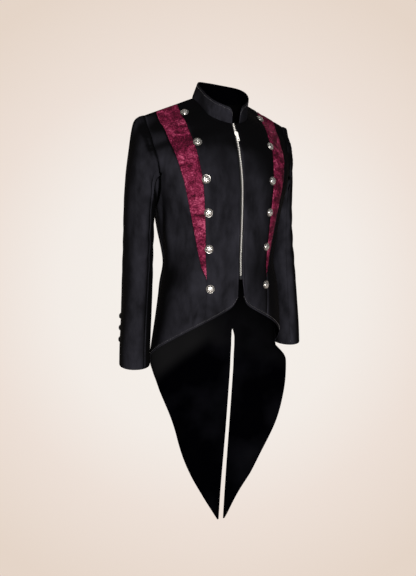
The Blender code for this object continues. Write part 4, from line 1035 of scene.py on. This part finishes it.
def row_of_beads(name, lines, finish, **sizes):
    """A plain mesh of beads along lines of points. Each line is an array of points in millimetres."""
    curve = bpy.data.curves.new(name, "CURVE")
    curve.dimensions = "3D"
    for points in lines:
        spline = curve.splines.new("POLY")
        spline.points.add(len(points) - 1)
        for spot, point in zip(spline.points, points):
            spot.co = (*(point * MM), 1.0)
    path = bpy.data.objects.new(f"{name}_path", curve)
    bpy.context.scene.collection.objects.link(path)
    row = path.modifiers.new("row", "NODES")
    row.node_group = row_tree
    for label, value in sizes.items():
        row[SOCKETS[label]] = value
    row[SOCKETS["Finish"]] = finish
    mesh = bpy.data.meshes.new_from_object(path.evaluated_get(bpy.context.evaluated_depsgraph_get()))
    bpy.data.objects.remove(path)
    mesh.shade_smooth()
    thing = bpy.data.objects.new(name, mesh)
    bpy.context.scene.collection.objects.link(thing)
    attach(thing, "coat")
    return thing


def line_inside(grid, edge, inset):
    """Points on a grid's surface, this far inside one of its edges."""
    distance = from_edges(grid)[edge]
    sheet_grid, far = (grid, distance) if edge in ("left", "right") else (grid.swapaxes(0, 1), distance.T)
    if edge in ("right", "top"):
        sheet_grid, far = sheet_grid[:, ::-1], far[:, ::-1]
    found = []
    for row, away in zip(sheet_grid, far):
        if away[-1] > inset * 2.2:
            found.append([np.interp(inset, away, row[:, k]) for k in range(3)])
    return np.array(found)


hem_rows = []
for word, side in SIDES.items():
    for name, edges in (("front", ("bottom",)), ("side", ("bottom",)), ("back", ("left", "right"))):
        grid, normals = body_grids[f"{name}_{word}"]
        lifted = grid + normals * 0.25
        for edge in edges:
            line = line_inside(lifted, edge, STITCH_INSET)
            if name == "back":
                line = line[line[:, 2] < (TAIL_STITCHES_TOP if edge == "left" else VENT_TOP)]
            hem_rows.append(line)
hem_stitches = row_of_beads("hem_stitches", hem_rows, THREAD, **STITCHES)
collar_front = collar_layers[0] + collar_face * 0.3
collar_rows = [line_inside(collar_front, "top", STITCH_INSET)]
collar_stitches = row_of_beads("collar_stitches", collar_rows, THREAD, **STITCHES)

# The dome buttons: stamped and silvered brass on a sewn shank, six down each front just inside the inset. A
# rolled rim runs round a dome with a raised ring of small petals; the silver varies in tone at random, and
# painted shade darkens the hollows, the ditch inside the rim and the rim's underside.
SILVER = bpy.data.materials.new("worn_silver_plate")
SILVER.use_nodes = True
tree = SILVER.node_tree
shader = tree.nodes["Principled BSDF"]
place = node(tree, "ShaderNodeTexCoord")
tarnish = node(tree, "ShaderNodeTexNoise", [("Vector", place.outputs["Object"])], Scale=260.0, Detail=4.0)
shade = node(tree, "ShaderNodeMapRange", [("Value", tarnish.outputs["Fac"])])
shade.inputs["From Min"].default_value, shade.inputs["From Max"].default_value = 0.35, 0.68
tone = node(tree, "ShaderNodeMix", [("Factor", shade.outputs["Result"])], data_type="RGBA")
tone.inputs["A"].default_value, tone.inputs["B"].default_value = colour("#989694"), colour("#dddbd7")
# Painted shade: the hollows and the rim's underside are mixed towards near-black.
painted_hollow_shade = node(tree, "ShaderNodeAttribute", attribute_name="painted_hollow_shade")
painted_shade_mix = node(tree, "ShaderNodeMix", [("Factor", painted_hollow_shade.outputs["Fac"]), ("A", tone.outputs["Result"])],
            data_type="RGBA")
painted_shade_mix.inputs["B"].default_value = colour("#100f0f")
tree.links.new(painted_shade_mix.outputs["Result"], shader.inputs["Base Color"])
rub = node(tree, "ShaderNodeMapRange", [("Value", tarnish.outputs["Fac"])])
rub.inputs["To Min"].default_value, rub.inputs["To Max"].default_value = 0.16, 0.34
tree.links.new(rub.outputs["Result"], shader.inputs["Roughness"])
shader.inputs["Metallic"].default_value = 0.8

BUTTON_LEVELS = [-12, -104, -196, -272, -354, -446]
BUTTON_LIFTS = [0.85, 0.15, 0.2, 0.3, 0.45, 0.1]
BUTTON_INSET = 7.0
BUTTON_RADIUS, BUTTON_HEIGHT, PETAL_HEIGHT = 10.0, 6.0, 0.6
BUTTON_SEAT = 0.3
DOWN = np.array([0.0, 0.0, -1.0])


def sew_on(thing, point, outward):
    """Sets a mesh on a point of the coat, its +Z outward and its -Y as near down as that allows."""
    outward = outward / np.linalg.norm(outward)
    below = DOWN - outward * (DOWN @ outward)
    below /= np.linalg.norm(below)
    across = np.cross(-below, outward)
    turned = Matrix(np.array([across, -below, outward]).T.tolist()).to_4x4()
    thing.data.transform(Matrix.Translation(Vector(point * MM)) @ turned)


def domed_button(name, radius, height, finish, petals, sides=48):
    """A button, its back on the origin: flat behind, with a rolled rim and a dome with petals this high."""
    rim = height * 0.28
    profile = [(0.0, 0.0), (0.8, 0.0), (0.95, 0.08), (1.0, 0.20), (0.985, 0.34), (0.95, 0.42), (0.90, 0.40),
               (0.86, 0.38)]
    points, rings, painted_hollow_shades = [], [], []
    for share, rise in profile:
        rings.append((share * radius, rise * rim / 0.3))
    dome_rings = 16
    for k in range(1, dome_rings + 1):
        a = pi / 2 * k / dome_rings
        rings.append((0.86 * radius * cos(a), rim * 1.26 + (height - rim * 1.26) * sin(a)))
    for number, (r, z) in enumerate(rings):
        for k in range(sides):
            a = 2 * pi * k / sides
            share = r / radius
            bump = petals * exp(-((share - 0.60) / 0.15) ** 2) * (0.5 + 0.5 * cos(8 * a))
            bump += petals * 1.2 * exp(-((share - 0.12) / 0.13) ** 2)
            on_dome = number >= len(profile)
            lift = bump if on_dome else 0.0
            # Painted shade: under the rim, in the ditch inside it, between the petals and in the inner ring.
            ditch = exp(-((share - 0.87) / 0.055) ** 2) if number >= 5 else 0.75
            between_petals = 0.5 - 0.5 * cos(8 * a)
            ditch += on_dome * 0.9 * exp(-((share - 0.60) / 0.2) ** 2) * between_petals
            ditch += on_dome * 0.8 * exp(-((share - 0.30) / 0.07) ** 2)
            painted_hollow_shades.append(min(1.0, ditch))
            points.append((r * cos(a) * MM, r * sin(a) * MM, (z + lift) * MM))
    faces = []
    for ring in range(len(rings) - 1):
        for k in range(sides):
            after = (k + 1) % sides
            low, high = ring * sides, (ring + 1) * sides
            faces.append([low + k, low + after, high + after, high + k])
    mesh = bpy.data.meshes.new(name)
    mesh.from_pydata(points, [], faces)
    dark = mesh.attributes.new("painted_hollow_shade", "FLOAT", "POINT")
    dark.data.foreach_set("value", painted_hollow_shades if petals else [0.0] * len(points))
    made = bmesh.new()
    made.from_mesh(mesh)
    bmesh.ops.remove_doubles(made, verts=made.verts, dist=1e-6)
    bmesh.ops.recalc_face_normals(made, faces=made.faces)
    made.to_mesh(mesh)
    made.free()
    mesh.materials.append(finish)
    mesh.shade_smooth()
    mesh.set_sharp_from_angle(angle=radians(60))
    thing = bpy.data.objects.new(name, mesh)
    bpy.context.scene.collection.objects.link(thing)
    return thing


for word, side in SIDES.items():
    for number, (height, lift) in enumerate(zip(BUTTON_LEVELS, BUTTON_LIFTS), start=1):
        level = level_at(height)
        seam = float(smooth(INSETS, "inner", place_in(INSETS, "level", height)))
        turn = turn_at(seam - BUTTON_INSET, level)
        outward = body_normals(side, turn, level)
        button = domed_button(f"dome_{word}_{number}", BUTTON_RADIUS, BUTTON_HEIGHT, SILVER,
                              petals=PETAL_HEIGHT)
        sew_on(button, body_points(side, turn, level) + outward * (lift - BUTTON_SEAT), outward)
        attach(button, "coat")
        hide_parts(f"button_{word}_{number}")

# The cuff buttons: three small domes of black moulded nylon, sewn one above another on the outer back of
# each sleeve above its cuff. Moulding leaves them matt.
MOULDED = bpy.data.materials.new("black_moulded_nylon")
MOULDED.use_nodes = True
tree = MOULDED.node_tree
shader = tree.nodes["Principled BSDF"]
place = node(tree, "ShaderNodeTexCoord")
grain = node(tree, "ShaderNodeTexNoise", [("Vector", place.outputs["Object"])], Scale=1800.0, Detail=2.0)
pitted = node(tree, "ShaderNodeBump", [("Height", grain.outputs["Fac"])], Strength=0.2, Distance=0.0002)
tree.links.new(pitted.outputs["Normal"], shader.inputs["Normal"])
shader.inputs["Base Color"].default_value = colour("#0d0d0f")
shader.inputs["Roughness"].default_value = 0.6
shader.inputs["Specular IOR Level"].default_value = 0.1
CUFF_BUTTON_LEVELS = [-522, -551, -580]
CUFF_BUTTON_TURN = HIND_SEAM - 82.0
CUFF_BUTTON_RADIUS, CUFF_BUTTON_HEIGHT = 7.0, 4.4
for word, side in SIDES.items():
    for number, height in enumerate(CUFF_BUTTON_LEVELS, start=1):
        at = place_in(SLEEVES, "in_z", height) + 1
        spot = CUFF_BUTTON_TURN + np.array([-1.0, 0.0, 1.0])
        near = np.array([sleeve_ring(side, spot, at + step) for step in (-0.02, 0.0, 0.02)])
        outward = np.cross(near[2, 1] - near[0, 1], near[1, 2] - near[1, 0]) * side
        outward /= np.linalg.norm(outward)
        cloth = sleeve_grids[f"top_sleeve_{word}"].reshape(-1, 3)
        nearest = cloth[np.argmin(np.linalg.norm(cloth - near[1, 1], axis=1))]
        depth = (nearest - near[1, 1]) @ outward
        button = domed_button(f"cuff_dome_{word}_{number}", CUFF_BUTTON_RADIUS, CUFF_BUTTON_HEIGHT,
                              MOULDED, petals=0.0, sides=32)
        sew_on(button, near[1, 1] + outward * (depth - BUTTON_SEAT), outward)
        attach(button, "coat")
        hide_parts(f"cuff_button_{word}_{number}")

# The zip: a metal chain on woven tapes, closed from the hem of the fronts to the collar. Its teeth are
# stamped and clamped on the tapes, and its slider, pull tab and bottom stop are die cast.
TAPE = bpy.data.materials.new("black_woven_tape")
TAPE.use_nodes = True
tree = TAPE.node_tree
shader = tree.nodes["Principled BSDF"]
place = node(tree, "ShaderNodeTexCoord")
twill = node(tree, "ShaderNodeTexWave", [("Vector", place.outputs["Object"])], wave_type="BANDS",
             bands_direction="DIAGONAL", Scale=900.0, Distortion=0.5)
woven = node(tree, "ShaderNodeBump", [("Height", twill.outputs["Fac"])], Strength=0.5, Distance=0.0004)
tree.links.new(woven.outputs["Normal"], shader.inputs["Normal"])
shader.inputs["Base Color"].default_value = colour("#121214")
shader.inputs["Roughness"].default_value = 0.8
for word in SIDES:
    tape_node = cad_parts[f"zip_tape_{word}"]
    for slot in tape_node.material_slots:
        slot.material = TAPE

# Nickel teeth with a satin finish, drawn nearly as bright paint: their near-white colour is a painted
# reflection, because the plain studio gives a true metal little to mirror.
TEETH = bpy.data.materials.new("nickel_painted_reflection")
TEETH.use_nodes = True
shader = TEETH.node_tree.nodes["Principled BSDF"]
shader.inputs["Base Color"].default_value = colour("#f4f3ef")
shader.inputs["Metallic"].default_value = 0.2
shader.inputs["Roughness"].default_value = 0.45
CHAIN_SUNK = 1.1
zip_levels = spaced(level_at(ZIP_BOTTOM), zip_top - 0.05, 200)
chain_line = []
for level in zip_levels:
    outward = body_normals(LEFT, -1.0, level) * np.array([0.0, 1.0, 1.0])
    chain_line.append(body_points(LEFT, -1.0, level) - outward / np.linalg.norm(outward) * CHAIN_SUNK)
chain = row_of_beads("zip_teeth", [np.array(chain_line)], TEETH, Step=0.0021, Length=0.0017, Width=0.0042,
                     Height=0.0024, Offset=0.0011)
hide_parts("zip_chain")


EASED_WIDTH = 0.00025


def eased_copy(node_name, body, finish):
    """A bevelled copy of a hard part, standing for it."""
    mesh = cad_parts[node_name].data.copy()
    made = bmesh.new()
    made.from_mesh(mesh)
    bmesh.ops.remove_doubles(made, verts=made.verts, dist=1e-6)
    bmesh.ops.dissolve_limit(made, angle_limit=radians(2), verts=made.verts, edges=made.edges)
    made.to_mesh(mesh)
    made.free()
    thing = bpy.data.objects.new(f"{node_name}_eased", mesh)
    bpy.context.scene.collection.objects.link(thing)
    bevel = thing.modifiers.new("bevel", "BEVEL")
    bevel.width, bevel.segments = EASED_WIDTH, 2
    bevel.limit_method, bevel.angle_limit = "ANGLE", radians(35)
    ready = bpy.data.meshes.new_from_object(thing.evaluated_get(bpy.context.evaluated_depsgraph_get()))
    thing.modifiers.clear()
    thing.data = ready
    ready.materials.clear()
    ready.materials.append(finish)
    ready.shade_smooth()
    ready.set_sharp_from_angle(angle=radians(40))
    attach(thing, body)
    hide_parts(node_name)


# The bottom stop is die-cast zinc, blackened in a bath, with a low grey shine.
BLACKENED = bpy.data.materials.new("blackened_die_cast_zinc")
BLACKENED.use_nodes = True
shader = BLACKENED.node_tree.nodes["Principled BSDF"]
shader.inputs["Base Color"].default_value = colour("#2a2a2c")
shader.inputs["Metallic"].default_value = 1.0
shader.inputs["Roughness"].default_value = 0.4
eased_copy("zip_slider", "coat", TEETH)
eased_copy("zip_pull_tab", "pull_tab", TEETH)
eased_copy("zip_retainer", "coat", BLACKENED)
